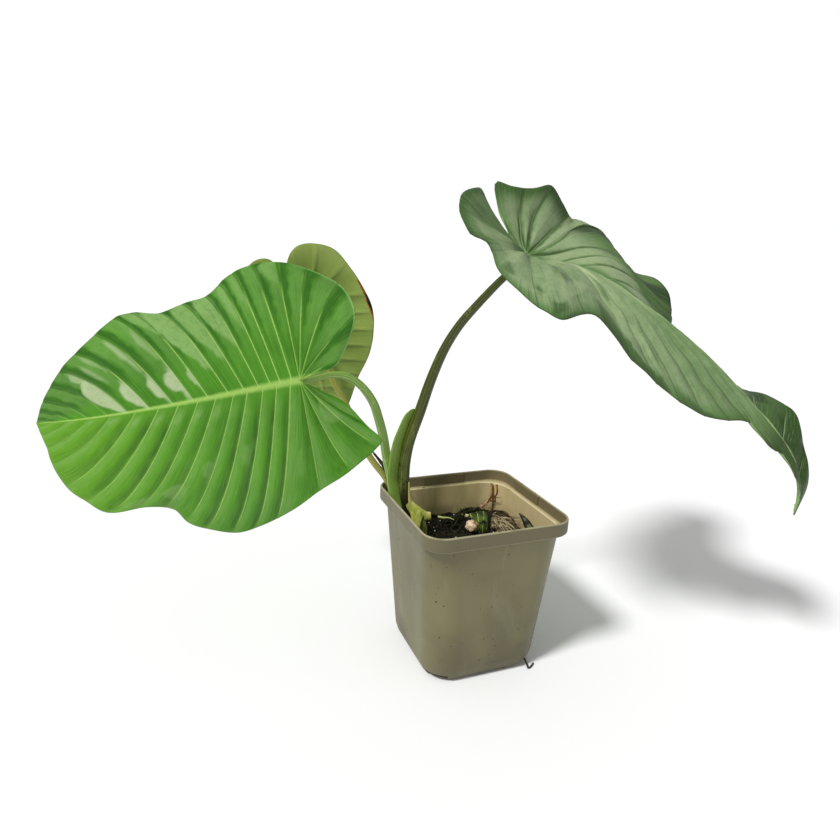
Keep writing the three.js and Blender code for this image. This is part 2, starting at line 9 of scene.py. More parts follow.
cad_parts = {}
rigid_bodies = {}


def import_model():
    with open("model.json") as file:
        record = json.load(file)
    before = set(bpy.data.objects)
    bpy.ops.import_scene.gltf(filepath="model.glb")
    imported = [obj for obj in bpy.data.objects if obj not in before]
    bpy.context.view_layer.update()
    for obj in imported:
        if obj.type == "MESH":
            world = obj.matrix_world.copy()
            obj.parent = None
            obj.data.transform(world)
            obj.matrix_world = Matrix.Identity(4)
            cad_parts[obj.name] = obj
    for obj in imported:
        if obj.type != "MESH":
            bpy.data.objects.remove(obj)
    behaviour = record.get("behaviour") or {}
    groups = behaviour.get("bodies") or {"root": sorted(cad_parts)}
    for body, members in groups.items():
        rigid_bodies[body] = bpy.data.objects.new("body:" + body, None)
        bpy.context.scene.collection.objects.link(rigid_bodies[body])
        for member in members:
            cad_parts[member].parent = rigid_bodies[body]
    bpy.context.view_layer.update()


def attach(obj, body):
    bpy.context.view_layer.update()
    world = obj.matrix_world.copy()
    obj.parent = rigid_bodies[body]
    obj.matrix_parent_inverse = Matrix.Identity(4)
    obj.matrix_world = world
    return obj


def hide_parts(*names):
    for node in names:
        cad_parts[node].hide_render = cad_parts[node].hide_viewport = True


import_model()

# Potted Adelonema picturatum: leaves, petioles, rhizome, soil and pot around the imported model.
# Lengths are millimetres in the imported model's frame, and add_piece() turns them into metres.
MM = 0.001
SEAM = 0.01
BLADE_SEAM = 0.02

# Pot
POT_HEIGHT = 97.7
POT_HALF_AT_RIM = 45.0
POT_HALF_AT_COLLAR = 42.4
POT_HALF_AT_FOOT = 35.8
POT_HALF_AT_BASE = 29.5
COLLAR_HEIGHT = 8.6
COLLAR_FOOT = POT_HEIGHT - COLLAR_HEIGHT
FOOT_HEIGHT = 8.0
WALL = 1.3
FLOOR = 2.0
RIM_CORNER = 12.5
WALL_CORNER = 16.5
NOTCH_WIDTH = 14.0
NOTCH_HEIGHT = 4.8
NOTCH_REACH = 37.5
NOTCH_DEPTH = 18.0
GROOVE_WIDTH = 12.0
GROOVE_HEIGHT = 1.2
PANEL_LENGTH = 28.0
PANEL_HEIGHT = 5.0
PANEL_THICKNESS = 0.8
RIGHT_PANEL_SHIFT = 8.0
BACK_PANEL_SHIFT = -1.5

# Soil
SOIL_LEVEL = 71.5
SOIL_RELIEF = 1.3
CRUMB_COUNT = 900
PERLITE_COUNT = 70

# Leaves
BLADE_THICKNESS = 0.7
STATIONS = np.array([-0.2, 0, 0.1, 0.22, 0.4, 0.6, 0.8, 1])
ROWS_PER_VEIN = 12
COLUMNS = 56
COLUMN_CROWDING = 1.3
PLEAT_FADE = 0.93
PLEAT_ROUNDNESS = 0.4
QUILT_FADE_AT_TIP = 12
QUILT_FADE_AT_SINUS = 10
PUCKER_SIZE = 22
VEIN_GROOVE_DEPTH = 0.3
VEIN_GROOVE_WIDTH = 0.55
VEIN_RIDGE = 1.3
LEAST_RIB_WIDTH = 0.6
LEVEL_STRENGTH = 0.9
LEVEL_SPREAD = 0.4
NO_VEIN = -9


def smooth(knots, values, x):
    """Cubic pieces through the values at the knots: a knot's slope is the rise between its two
    neighbours over the run between them, and the line goes straight on beyond the end knots."""
    knots = np.asarray(knots, float)
    values = np.asarray(values, float)
    x = np.asarray(x, float)
    last = len(knots) - 1
    before = np.maximum(np.arange(last + 1) - 1, 0)
    after = np.minimum(np.arange(last + 1) + 1, last)
    slope = (values[after] - values[before]) / (knots[after] - knots[before])
    i = np.clip(np.searchsorted(knots, x, side="right") - 1, 0, last - 1)
    width = knots[i + 1] - knots[i]
    s = np.clip((x - knots[i]) / width, 0, 1)
    ahead = s * s * (3 - 2 * s)
    leave = s * (1 - s) ** 2 * width * slope[i]
    arrive = s * s * (s - 1) * width * slope[i + 1]
    inside = values[i] * (1 - ahead) + values[i + 1] * ahead + leave + arrive
    below = np.minimum(x - knots[0], 0) * slope[0]
    above = np.maximum(x - knots[-1], 0) * slope[-1]
    return inside + below + above


def step_up(low, high, x):
    """0 below low, 1 above high, and 3s^2 - 2s^3 between them."""
    s = np.clip((x - low) / (high - low), 0, 1)
    return s * s * (3 - 2 * s)


def bump(x, middle, width):
    """A bell of height 1 at the middle: e to the minus ((x - middle) / width) squared."""
    return np.exp(-(((x - middle) / width) ** 2))


def unit(vectors):
    """Each vector over its own length."""
    return vectors / np.maximum(np.linalg.norm(vectors, axis=-1, keepdims=True), 1e-12)


def waves(points, size, seed):
    """Steady ripples between about -1 and 1: a sum of eight sines with directions drawn from the seed,
    each near the given size from crest to crest."""
    draw = np.random.default_rng(seed)
    total = np.zeros(points.shape[:-1])
    for _ in range(8):
        direction = unit(draw.normal(size=3)) * 2 * math.pi / (size * draw.uniform(0.7, 1.4))
        total += np.sin(points @ direction + draw.uniform(0, 2 * math.pi))
    return total / 3.2


def grid_faces(rows, columns, wrap_rows=False, wrap_columns=False, start=0):
    """Four-cornered faces of a grid of points, row by row, joined round where it wraps."""
    r = np.arange(rows if wrap_rows else rows - 1)[:, None]
    c = np.arange(columns if wrap_columns else columns - 1)[None, :]
    below, right = (r + 1) % rows, (c + 1) % columns
    corners = [r * columns + c, below * columns + c, below * columns + right, r * columns + right]
    return np.stack([np.broadcast_to(k, (r.size, c.size)) for k in corners], -1).reshape(-1, 4) + start


def add_piece(name, points, faces, finish, stands_for=(), marks=None, weld=None):
    """A smooth-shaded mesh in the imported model's frame; marks are values at its points for its finish, and
    points that lie nearer together than the weld are joined."""
    mesh = bpy.data.meshes.new(name)
    mesh.from_pydata((np.asarray(points, float) * MM).tolist(), [], np.asarray(faces).tolist())
    for key, values in (marks or {}).items():
        kept = mesh.attributes.new(key, "FLOAT", "POINT")
        kept.data.foreach_set("value", np.ascontiguousarray(values, np.float32).ravel())
    if weld:
        made = bmesh.new()
        made.from_mesh(mesh)
        bmesh.ops.remove_doubles(made, verts=made.verts, dist=weld * MM)
        bmesh.ops.dissolve_degenerate(made, edges=made.edges, dist=weld * MM * 0.1)
        made.to_mesh(mesh)
        made.free()
    mesh.polygons.foreach_set("use_smooth", np.ones(len(mesh.polygons), bool))
    mesh.materials.append(finish)
    piece = bpy.data.objects.new(name, mesh)
    bpy.context.scene.collection.objects.link(piece)
    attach(piece, "root")
    if stands_for:
        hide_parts(*stands_for)
    return piece


def paint(code):
    """Linear colour of a hex colour code."""
    channels = np.array([int(code[i:i + 2], 16) for i in (0, 2, 4)]) / 255
    linear = np.where(channels <= 0.04045, channels / 12.92, ((channels + 0.055) / 1.055) ** 2.4)
    return (*linear.tolist(), 1.0)


# Short ways to write a finish's nodes
def node(tree, kind, inputs=None, **settings):
    """A node with its settings: an input that is a socket is joined, and any other is set as its value."""
    made = tree.nodes.new(kind)
    for key, value in settings.items():
        setattr(made, key, value)
    for key, value in (inputs or {}).items():
        socket = made.inputs[key]
        if isinstance(value, bpy.types.NodeSocket):
            tree.links.new(value, socket)
        else:
            socket.default_value = value
    return made


def calc(tree, operation, *values):
    """One operation of arithmetic on its values."""
    return node(tree, "ShaderNodeMath", dict(enumerate(values)), operation=operation).outputs[0]


def between(tree, value, low, high, start=0.0, end=1.0):
    """Goes smoothly from start to end as the value goes from low to high."""
    inputs = {"Value": value, "From Min": low, "From Max": high, "To Min": start, "To Max": end}
    return node(tree, "ShaderNodeMapRange", inputs, interpolation_type="SMOOTHSTEP").outputs["Result"]


def blend(tree, share, first, second):
    """The first colour where the share is 0, the second where it is 1, and a mix of them between."""
    return node(tree, "ShaderNodeMix", {0: share, 6: first, 7: second}, data_type="RGBA").outputs[2]


def mark(tree, name):
    """The value of this name that is kept at the mesh's points."""
    return node(tree, "ShaderNodeAttribute", attribute_name=name).outputs["Fac"]


def place_of(tree):
    """Place on the piece in its own frame, in metres."""
    return node(tree, "ShaderNodeTexCoord").outputs["Object"]


def noise(tree, where, scale, detail=3.0, roughness=0.55, distortion=0.0):
    """Clouds from 0 to 1, with the scale in lumps to the metre."""
    inputs = {"Vector": where, "Scale": scale, "Detail": detail, "Roughness": roughness,
              "Distortion": distortion}
    return node(tree, "ShaderNodeTexNoise", inputs).outputs["Fac"]


def stretched(tree, where, scale):
    """The place with each of its axes multiplied by a scale: under 1 draws the clouds out along it."""
    return node(tree, "ShaderNodeMapping", {"Vector": where, "Scale": scale}).outputs["Vector"]


def new_finish(name):
    """An empty material with its shader and output: returns the material, its tree and the shader."""
    finish = bpy.data.materials.new(name)
    finish.use_nodes = True
    tree = finish.node_tree
    return finish, tree, tree.nodes["Principled BSDF"]


def bumps(tree, height, distance, strength=1.0, under=None):
    """Relief whose height is worth the distance, in millimetres, on top of the relief under it."""
    inputs = {"Height": height, "Distance": distance * MM, "Strength": strength}
    if under is not None:
        inputs["Normal"] = under
    return node(tree, "ShaderNodeBump", inputs).outputs["Normal"]


def dress(tree, shader, colour, rough, relief=None):
    """Joins a colour and a relief to the shader, and joins its roughness or sets it where it is a number."""
    tree.links.new(colour, shader.inputs["Base Color"])
    if isinstance(rough, float):
        shader.inputs["Roughness"].default_value = rough
    else:
        tree.links.new(rough, shader.inputs["Roughness"])
    if relief is not None:
        tree.links.new(relief, shader.inputs["Normal"])


# Leaf blades: the formulas of the solids on a finer grid, with veins, pucker and a keeled midrib
def outline(margin, share):
    """Point at a share of the length of the smooth line through the margin's points."""
    points = np.array(margin, float)
    knots = np.r_[0, np.cumsum(np.hypot(*np.diff(points, axis=0).T))]
    fine = np.linspace(0, knots[-1], 401)
    x, y = smooth(knots, points[:, 0], fine), smooth(knots, points[:, 1], fine)
    run = np.r_[0, np.cumsum(np.hypot(np.diff(x), np.diff(y)))]
    want = np.clip(share, 0, 1) * run[-1]
    return np.interp(want, run, x), np.interp(want, run, y)


def midrib(leaf, u):
    """Point, side and normal at distance u along the midrib: the heading, given by yaw and pitch, is summed
    from the petiole on, and the side is level, turned by roll about the heading."""
    knots = STATIONS * leaf["length"]

    def angle(key, at):
        """One of the leaf's angles at a distance along the midrib, in radians."""
        return np.radians(smooth(knots, leaf[key], at))

    def heading(at):
        """Direction of the midrib."""
        yaw, pitch = angle("yaw", at), angle("pitch", at)
        return np.stack([np.cos(pitch) * np.cos(yaw), np.cos(pitch) * np.sin(yaw), np.sin(pitch)], -1)

    run = np.arange(-0.6 * leaf["length"], 1.2 * leaf["length"], 0.5)
    steps = (heading(run[1:]) + heading(run[:-1])) * 0.25
    line = np.vstack([np.zeros(3), np.cumsum(steps, axis=0)])
    line += np.array(leaf["attach"]) - np.array([np.interp(0, run, line[:, i]) for i in range(3)])
    point = np.stack([np.interp(u, run, line[:, i]) for i in range(3)], -1)
    along, yaw, roll = heading(u), angle("yaw", u), angle("roll", u)[..., None]
    level = np.stack([-np.sin(yaw), np.cos(yaw), np.zeros_like(yaw)], -1)
    side = level * np.cos(roll) + np.cross(along, level) * np.sin(roll)
    return point, side, np.cross(along, side)


def blade_surface(leaf, half, u, v):
    """Point of the blade's middle surface: v is measured outwards from the midrib along an arc that leaves
    at the fold angle and bends by the curl, in degrees per 100 mm."""
    point, side, normal = midrib(leaf, u)
    knots = STATIONS * leaf["length"]
    fold = np.radians(smooth(knots, half["fold"], u))
    curl = np.radians(smooth(knots, half["curl"], u)) / 100
    curl = np.where(np.abs(curl) < 1e-5, 1e-5, curl)
    out = (np.sin(fold + curl * v) - np.sin(fold)) / curl
    lift = (np.cos(fold) - np.cos(fold + curl * v)) / curl
    return point + side * (half["sign"] * out)[..., None] + normal * lift[..., None]


def layout(values, fanned, ribbed):
    """A value given at the first vein, at the petiole and at the tip, in straight lines between them."""
    first, middle, last = values
    return np.where(ribbed > 0, middle + (last - middle) * ribbed, first + (middle - first) * fanned)


def blade_half(leaf, half):
    """One half of a blade on a grid of rows q by share t from midrib to margin, a vein's row being given by
    veins_at. Each row is a curve of second order from the midrib to its point of the margin. Pleats rise
    between the veins, but not at the levelled vein near the midrib; each vein is a groove above and a ridge
    below. Returns middle points, normals, the ridges' heights and the marks."""
    veins = leaf["fan_veins"] + leaf["rib_veins"]
    q = np.linspace(0, veins, veins * ROWS_PER_VEIN + 1)[:, None]
    t = np.linspace(0, 1, COLUMNS + 1)[None, :] ** COLUMN_CROWDING
    fanned = np.minimum(q / leaf["fan_veins"], 1)
    ribbed = np.maximum(q - leaf["fan_veins"], 0) / leaf["rib_veins"]
    a = half["fan_share"] * fanned + (1 - half["fan_share"]) * (1 - (1 - ribbed) ** half["lead"])
    base = leaf["length"] * ribbed
    end_u, end_v = outline(half["margin"], a)
    bend_u = base + (end_u - base) * layout(half["sweep"], fanned, ribbed)
    bend_v = end_v * layout(half["bend"], fanned, ribbed)
    u = base * (1 - t) ** 2 + 2 * t * (1 - t) * bend_u + end_u * t * t
    v = 2 * t * (1 - t) * bend_v + end_v * t * t
    along_u = blade_surface(leaf, half, u + 0.5, v) - blade_surface(leaf, half, u - 0.5, v)
    nearer = np.maximum(v - 0.5, 0)
    along_v = blade_surface(leaf, half, u, v + 0.5) - blade_surface(leaf, half, u, nearer)
    normal = unit(np.cross(along_u, along_v) * half["sign"])
    normal = np.where((v > 0.5)[..., None], normal, midrib(leaf, u)[2])
    points = blade_surface(leaf, half, u, v)
    gap = np.linalg.norm(np.gradient(points, axis=0), axis=-1) * ROWS_PER_VEIN
    veins_at = half.get("veins_at", range(veins + 1))
    gap = gap * np.interp(q, veins_at[:-1], np.diff(veins_at))
    number = np.interp(q, veins_at, np.arange(len(veins_at)))
    from_vein = np.abs(number - np.round(number)) * gap
    ends = np.minimum(1, QUILT_FADE_AT_TIP * (1 - a)) * np.minimum(1, QUILT_FADE_AT_SINUS * a)
    phase = number % 1
    rise = np.minimum(phase / half["ridge"], (1 - phase) / (1 - half["ridge"]))
    level = LEVEL_STRENGTH * bump(number, half.get("level_vein", NO_VEIN), LEVEL_SPREAD)
    level = level * step_up(0.7, 0.35, t)
    rise = rise + (1 - rise) * level
    arch = (1 - PLEAT_ROUNDNESS) * rise + PLEAT_ROUNDNESS * np.sin(0.5 * math.pi * rise) - 0.5
    height = leaf["pleat"] * arch * np.sin(PLEAT_FADE * math.pi * t ** 0.7) * ends
    for at, width, lift in half["waves"]:
        height = height + lift * bump(a, at, width) * t ** 3
    height = height + leaf["pucker"] * waves(points, PUCKER_SIZE, 5) * step_up(0.1, 0.5, t)
    rib_width = LEAST_RIB_WIDTH + leaf["rib_width"] * np.clip(1 - u / leaf["length"], 0, 1) ** 0.8
    groove = VEIN_GROOVE_DEPTH * bump(from_vein, 0, VEIN_GROOVE_WIDTH) * np.minimum(1, gap / 3)
    groove = groove * step_up(1.1, 0.8, t) * (1 - level)
    height = height - np.where(v > 0.3, groove, 0) * (1 - bump(v, 0, 2 * rib_width))
    points = points + normal * np.where(v > 0.3, height, 0)[..., None]
    keel = leaf["keel"] * bump(v, 0, rib_width)
    keel = keel * np.where(u >= -1, np.clip(1 - u / leaf["length"], 0, 1) ** 0.7, np.exp(u / 4))
    marks = {
        "vein_number": number + 0 * t, "outward": t + 0 * q, "vein_gap": gap, "from_rib": v,
        "rib_width": rib_width, "along": u / leaf["length"],
        "far_half": np.full(v.shape, 0.5 + 0.5 * half["sign"]),
    }
    return points, normal, keel + groove * VEIN_RIDGE, marks


def blade(leaf):
    """A closed blade: both faces of both halves, half the thickness up and down from the middle surface, with
    the midrib's keel and the veins standing out below, joined round the margin."""
    points, faces, marks, start = [], [], {}, 0
    for half in leaf["halves"]:
        middle, normal, ridges, half_marks = blade_half(leaf, half)
        rows, columns = middle.shape[:2]
        thin = 0.5 * BLADE_THICKNESS * (1 - 0.5 * half_marks["outward"] ** 16)
        upper = middle + normal * thin[..., None]
        lower = middle - normal * (thin + ridges)[..., None]
        sheets = grid_faces(rows, columns)
        size = rows * columns
        rim = np.arange(rows) * columns + columns - 1
        edge = np.stack([rim[:-1], rim[1:], rim[1:] + size, rim[:-1] + size], -1)
        both = np.vstack([sheets, sheets[:, ::-1] + size, edge])
        if half["sign"] < 0:
            both = both[:, ::-1]
        points += [upper.reshape(-1, 3), lower.reshape(-1, 3)]
        faces.append(both + start)
        half_marks["upper"] = np.ones(middle.shape[:2])
        for key, values in half_marks.items():
            below = np.zeros_like(values) if key == "upper" else values
            marks.setdefault(key, []).extend([values.ravel(), below.ravel()])
        start += 2 * size
    marks = {key: np.concatenate(values) for key, values in marks.items()}
    return np.vstack(points), np.vstack(faces), marks


def leaf_finish(name, look):
    """Leaf skin: two greens in soft clouds and fine streaks, deeper and paler where the tone marks say
    (painted shade, sheen and highlights on the front and right leaves), pale veins and midrib, a thin margin
    that may be burnt, a duller underside, and light through the blade."""
    finish, tree, shader = new_finish(name)
    where = place_of(tree)
    number, outward, gap = mark(tree, "vein_number"), mark(tree, "outward"), mark(tree, "vein_gap")
    from_rib, upper = mark(tree, "from_rib"), mark(tree, "upper")
    # Distance to the nearest vein, in millimetres
    nearest = calc(tree, "ABSOLUTE", calc(tree, "SUBTRACT", number, calc(tree, "ROUND", number)))
    from_vein = calc(tree, "MULTIPLY", nearest, gap)
    wander = calc(tree, "MULTIPLY", calc(tree, "SUBTRACT", noise(tree, where, 350), 0.5), 0.3)
    line = between(tree, calc(tree, "ADD", from_vein, wander), 0.08, look["vein_width"], 1, 0)
    vein = calc(tree, "MULTIPLY", line, mark(tree, "pale_vein"))
    # Painted shade along the veins' creases
    crease = calc(tree, "MULTIPLY", between(tree, from_vein, 0.1, 0.7, 1, 0), mark(tree, "dark_vein"))
    halo = between(tree, from_vein, 0.2, 1.8, look["halo"], 0)
    fuzz = calc(tree, "MULTIPLY_ADD", noise(tree, where, 500), 0.5, -0.25)
    rib_share = calc(tree, "ADD", calc(tree, "DIVIDE", from_rib, mark(tree, "rib_width")), fuzz)
    rib = between(tree, rib_share, look["rib_edge"], 1.15, look["rib_strength"], 0)
    # Fine veins run beside the main ones
    comb = stretched(tree, node(tree, "ShaderNodeCombineXYZ", {0: number, 1: outward}).outputs[0], (30, 3, 1))
    fine = noise(tree, comb, 1.0, 3, 0.65)
    clouds = between(tree, noise(tree, where, 32, 4), 0.3, 0.7)
    mottle = noise(tree, where, 300, 4, 0.6)
    skin = blend(tree, clouds, paint(look["green"]), paint(look["deep"]))
    fresh = calc(tree, "MULTIPLY", mark(tree, "fresh"), between(tree, fine, 0.3, 0.6, 0.7, 1))
    skin = blend(tree, fresh, skin, paint(look["young"]))
    # Dark mark: painted shade on the front and right leaves, a darker tip on the back leaf
    dark = calc(tree, "MULTIPLY", mark(tree, "dark"), between(tree, fine, 0.25, 0.75, 0.65, 1.1))
    skin = blend(tree, dark, skin, paint(look["shade"]))
    # Pale mark: painted sheen
    pale = calc(tree, "MULTIPLY", mark(tree, "pale"), between(tree, mottle, 0.3, 0.6, 0.75, 1.05))
    skin = blend(tree, pale, skin, paint(look["painted_sheen"]))
    skin = blend(tree, between(tree, fine, 0.45, 0.75, 0, look["fine"]), skin, paint(look["light"]))
    skin = blend(tree, between(tree, fine, 0.5, 0.25, 0, look["fine"]), skin, paint(look["shade"]))
    skin = blend(tree, crease, skin, paint(look["shade"]))
    skin = blend(tree, halo, skin, paint(look["light"]))
    skin = blend(tree, vein, skin, paint(look["vein"]))
    skin = blend(tree, rib, skin, paint(look["rib"]))
    # Painted highlights and reflections
    shine = calc(tree, "MULTIPLY", mark(tree, "shine"), between(tree, mottle, 0.3, 0.55, 0.8, 1.0))
    skin = blend(tree, shine, skin, paint(look["painted_highlight_colour"]))
    back = blend(tree, clouds, paint(look["under"]), paint(look["under_deep"]))
    under_line = calc(tree, "MULTIPLY", line, look["under_vein_strength"])
    back = blend(tree, under_line, back, paint(look["under_vein"]))
    back = blend(tree, rib, back, paint(look["under_vein"]))
    back = blend(tree, calc(tree, "MULTIPLY", dark, look["under_dark"]), back, paint(look["shade"]))
    skin = blend(tree, upper, back, skin)
    margin = between(tree, outward, 0.985, 1.0, 0, look["margin_strength"])
    skin = blend(tree, margin, skin, paint(look["margin"]))
    scorch = calc(tree, "ADD", mark(tree, "scorch"), calc(tree, "MULTIPLY_ADD", mottle, 0.5, -0.25))
    burnt = blend(tree, between(tree, scorch, 0.5, 0.75), paint("9a5a1e"), paint("1a120b"))
    skin = blend(tree, between(tree, scorch, 0.22, 0.42), skin, burnt)
    rough = between(tree, noise(tree, where, 90, 4), 0.3, 0.7, look["gloss"] - 0.05, look["gloss"] + 0.08)
    rough = calc(tree, "ADD", rough, calc(tree, "MULTIPLY", calc(tree, "SUBTRACT", 1.0, upper), 0.18))
    relief = bumps(tree, fine, 0.16, 0.6)
    relief = bumps(tree, noise(tree, where, 700, 3), 0.05, 0.5, relief)
    relief = bumps(tree, noise(tree, where, 140, 2), 0.25, 0.35, relief)
    dress(tree, shader, skin, rough, relief)
    shader.inputs["Specular IOR Level"].default_value = look["specular"]
    shader.inputs["Sheen Weight"].default_value = look["sheen"]
    shader.inputs["Sheen Roughness"].default_value = 0.4
    through = node(tree, "ShaderNodeBsdfTranslucent", {"Color": skin, "Normal": relief})
    ways = {0: look["through"], 1: shader.outputs[0], 2: through.outputs[0]}
    mixed = node(tree, "ShaderNodeMixShader", ways)
    tree.links.new(mixed.outputs[0], tree.nodes["Material Output"].inputs["Surface"])
    return finish


# A leaf's angles are given at the stations. A half's folds and curls are too, its margin is (along, out) from
# the petiole's end, and a wave is (share of the margin, width, lift).
LEAF_FRONT = {
    "attach": [-96, 29, 168], "length": 148,
    "yaw": [176, 174, 172, 169, 165, 160, 153, 145],
    "pitch": [-10, -10, -11, -12, -12, -12, -11, -9],
    "roll": [-64, -64, -64, -63, -62, -62, -62, -64],
    "fan_veins": 6, "rib_veins": 14, "pleat": 1.3, "keel": 1.8,
    "pucker": 0.25, "rib_width": 1.9,
    "halves": [
        {
            "sign": 1, "fan_share": 0.43, "lead": 1.53, "ridge": 0.45,
            "veins_at": [0, 1, 2, 3, 4, 5, 6.5, 7.2, 7.9, 8.7, 9.4, 10.3, 11.2, 12.2, 13.2, 14.4, 15.7, 16.9,
                         18, 19, 20],
            "sweep": [0.45, 0.65, 0.6], "bend": [0.55, 0.9, 0.9],
            "fold": [-6, -6, -6, -6, -5, -4, -2, 0],
            "curl": [-10, -10, -12, -16, -18, -16, -12, -10],
            "waves": [[0.3, 0.03, 2.5], [0.66, 0.03, -3], [0.9, 0.03, 2.5]],
            "margin": [[0, 0], [-12, 9], [-22, 17], [-32, 33], [-38, 42], [-34, 46], [-27, 50], [-12, 57],
                       [3, 63], [17, 69], [31, 73], [48, 75], [62, 70], [72, 64], [78, 56], [90, 52],
                       [108, 52], [118, 45], [128, 36], [135, 22], [142, 10], [148, 0]],
        },
        {
            "sign": -1, "fan_share": 0.41, "lead": 1.75, "ridge": 0.7,
            "veins_at": [0, 1.3, 2.6, 3.8, 4.8, 5.7, 6.4, 7, 7.5, 8.1, 8.85, 9.65, 10.7, 11.45, 12.5, 13.7,
                         14.85, 15.9, 17, 18, 19, 20],
            "sweep": [0.45, 0.74, 0.3], "bend": [0.55, 1, 0.75],
            "fold": [-6, -6, -6, -6, -5, -4, -2, 0],
            "curl": [-10, -10, -12, -16, -18, -16, -12, -10],
            "waves": [[0.18, 0.04, 5], [0.55, 0.03, -2], [0.7, 0.04, 2.5]],
            "margin": [[0, 0], [-12, 2], [-22, 5], [-30, 14], [-38, 27], [-40, 38], [-38, 51], [-30, 60],
                       [-16, 70], [0, 76], [14, 77], [27, 75], [42, 67], [60, 62], [74, 58], [92, 60],
                       [104, 59], [119, 47], [133, 34], [141, 22], [146, 10], [148, 0]],
        },
    ],
}

LEAF_RIGHT = {
    "attach": [36, 21, 239], "length": 226,
    "yaw": [-40, -40, -40, -41, -42, -43, -45, -48],
    "pitch": [-67, -34, 0, -25, -33, -42, -50, -99],
    "roll": [0] * 8,
    "fan_veins": 6, "rib_veins": 15, "pleat": 2.4, "keel": 2.2,
    "pucker": 0.5, "rib_width": 2.0,
    "halves": [
        {
            "sign": 1, "fan_share": 0.61, "lead": 0.59, "ridge": 0.4, "level_vein": 5,
            "veins_at": [0, 0.9, 1.75, 2.3, 3.15, 4.5, 5.65, 6.8, 7.85, 9.2, 10.6, 12, 13.5, 15, 16.5, 18,
                         19.5, 21],
            "sweep": [0.45, 0.45, 0.45], "bend": [0.55, 0.55, 0.55],
            "fold": [37, 27, 20, 20, -21, -16, 33, 43],
            "curl": [9, -1, 3, -35, 56, -17, 11, 10],
            "waves": [],
            "margin": [[0, 0], [-13, 1], [-29, 6], [-49, 10], [-44, 22], [-38, 38], [-35, 54], [-16, 61],
                       [4, 66], [27, 80], [40, 103], [80, 90], [111, 50], [148, 34], [175, 24], [191, 11],
                       [205, 8], [226, 0]],
        },
        {
            "sign": -1, "fan_share": 0.61, "lead": 1.83, "ridge": 0.5,
            "sweep": [0.45, 0.45, 0.45], "bend": [0.55, 0.55, 0.55],
            "fold": [11, 11, 17, -2, -12, -20, -13, 11],
            "curl": [-66, -45, -64, -24, -40, -31, -23, -7],
            "waves": [],
            "margin": [[0, 0], [-15, 1], [-31, 4], [-44, 10], [-45, 26], [-41, 48], [-22, 60], [-14, 53],
                       [4, 72], [40, 90], [58, 60], [105, 52], [142, 38], [161, 15], [175, 19], [185, 12],
                       [195, 14], [226, 0]],
        },
    ],
}

LEAF_BACK = {
    "attach": [-83, 90, 203], "length": 92,
    "yaw": [-14] * 8,
    "pitch": [-57, -69, -72, -74, -76, -79, -82, -85],
    "roll": [-79] * 8,
    "fan_veins": 5, "rib_veins": 10, "pleat": 0.9, "keel": 1.4,
    "pucker": 0.3, "rib_width": 1.4,
    "halves": [
        {
            "sign": 1, "fan_share": 0.46, "lead": 1, "ridge": 0.5,
            "sweep": [0.45, 0.45, 0.45], "bend": [0.55, 0.55, 0.55],
            "fold": [-10, -6, -4, -4, -4, -4, -3, -2],
            "curl": [-30, -30, -30, -30, -30, -26, -20, -10],
            "waves": [],
            "margin": [[0, 0], [-12, 0.7], [-24, 1], [-31, 1.5], [-35.5, 5], [-38, 11], [-36.5, 22],
                       [-30.5, 33.5], [-17, 43], [0, 47], [16, 46], [32, 40.5], [50, 30], [66, 19],
                       [80, 9], [92, 0]],
        },
        {
            "sign": -1, "fan_share": 0.46, "lead": 1, "ridge": 0.5,
            "sweep": [0.45, 0.45, 0.45], "bend": [0.55, 0.55, 0.55],
            "fold": [-10, -6, -4, -4, -4, -4, -3, -2],
            "curl": [-30, -30, -30, -30, -30, -26, -20, -10],
            "waves": [],
            "margin": [[0, 0], [-10, 1.5], [-22, 4], [-27, 11], [-28, 19], [-25, 28], [-18, 38], [-7, 42],
                       [6, 45], [17, 45], [29, 41], [40, 35], [52, 25], [66, 17], [80, 9], [92, 0]],
        },
    ],
}

FRONT_LOOK = {
    "green": "4b8d20", "deep": "3b791a", "light": "79aa4a", "young": "679d24", "shade": "215311",
    "painted_sheen": "86ab64", "painted_highlight_colour": "b3bf97", "vein": "a6cc68", "rib": "a3c764", "margin": "5e7a30",
    "under": "8fb070", "under_deep": "7da25e", "under_vein": "b5cf92", "under_vein_strength": 0.6,
    "under_dark": 0.0,
    "halo": 0.12, "fine": 0.35, "vein_width": 0.42, "rib_edge": 0.1, "rib_strength": 0.85,
    "margin_strength": 0.6, "gloss": 0.32, "specular": 0.4, "sheen": 0.0, "through": 0.15,
}
RIGHT_LOOK = {
    **FRONT_LOOK,
    "green": "537c3c", "deep": "466c30", "light": "86a06f", "young": "64893f", "shade": "1d3511",
    "painted_sheen": "8fa379", "painted_highlight_colour": "b6c896", "vein": "a3bd84", "rib": "b4cb8c", "margin": "31461c", "fine": 0.45,
    "halo": 0.1, "gloss": 0.38, "rib_edge": 0.0, "rib_strength": 0.75, "vein_width": 0.6,
}
BACK_LOOK = {
    **FRONT_LOOK,
    "under": "a6b962", "under_deep": "92a74f", "under_vein": "bbc775", "under_vein_strength": 0.35,
    "under_dark": 1.0, "margin": "6d6a35", "gloss": 0.4, "through": 0.3,
}


def patches(marks, rough, areas):
    """Cover, from 0 to 1, of soft-edged areas of a blade, narrower towards their ends. Each area is a vein's
    number, the share of the way to the next vein where it starts and ends, its start and end outwards from
    the midrib, and its strength."""
    cover = np.zeros(len(rough))
    for vein, start, end, inner, outer, strength in areas:
        across = marks["vein_number"] - vein
        along = marks["outward"] + 0.012 * rough
        middle = np.clip((along - inner) / (outer - inner), 0, 1)
        near_end = start + (end - start) * (1 - 0.75 * np.abs(2 * middle - 1) ** 2.5) + 0.02 * rough
        area = step_up(start - 0.06, start + 0.03, across) * step_up(near_end + 0.1, near_end - 0.05, across)
        area = area * step_up(inner - 0.07, inner + 0.02, along) * step_up(outer + 0.07, outer - 0.03, along)
        cover = np.maximum(cover, strength * area)
    return cover
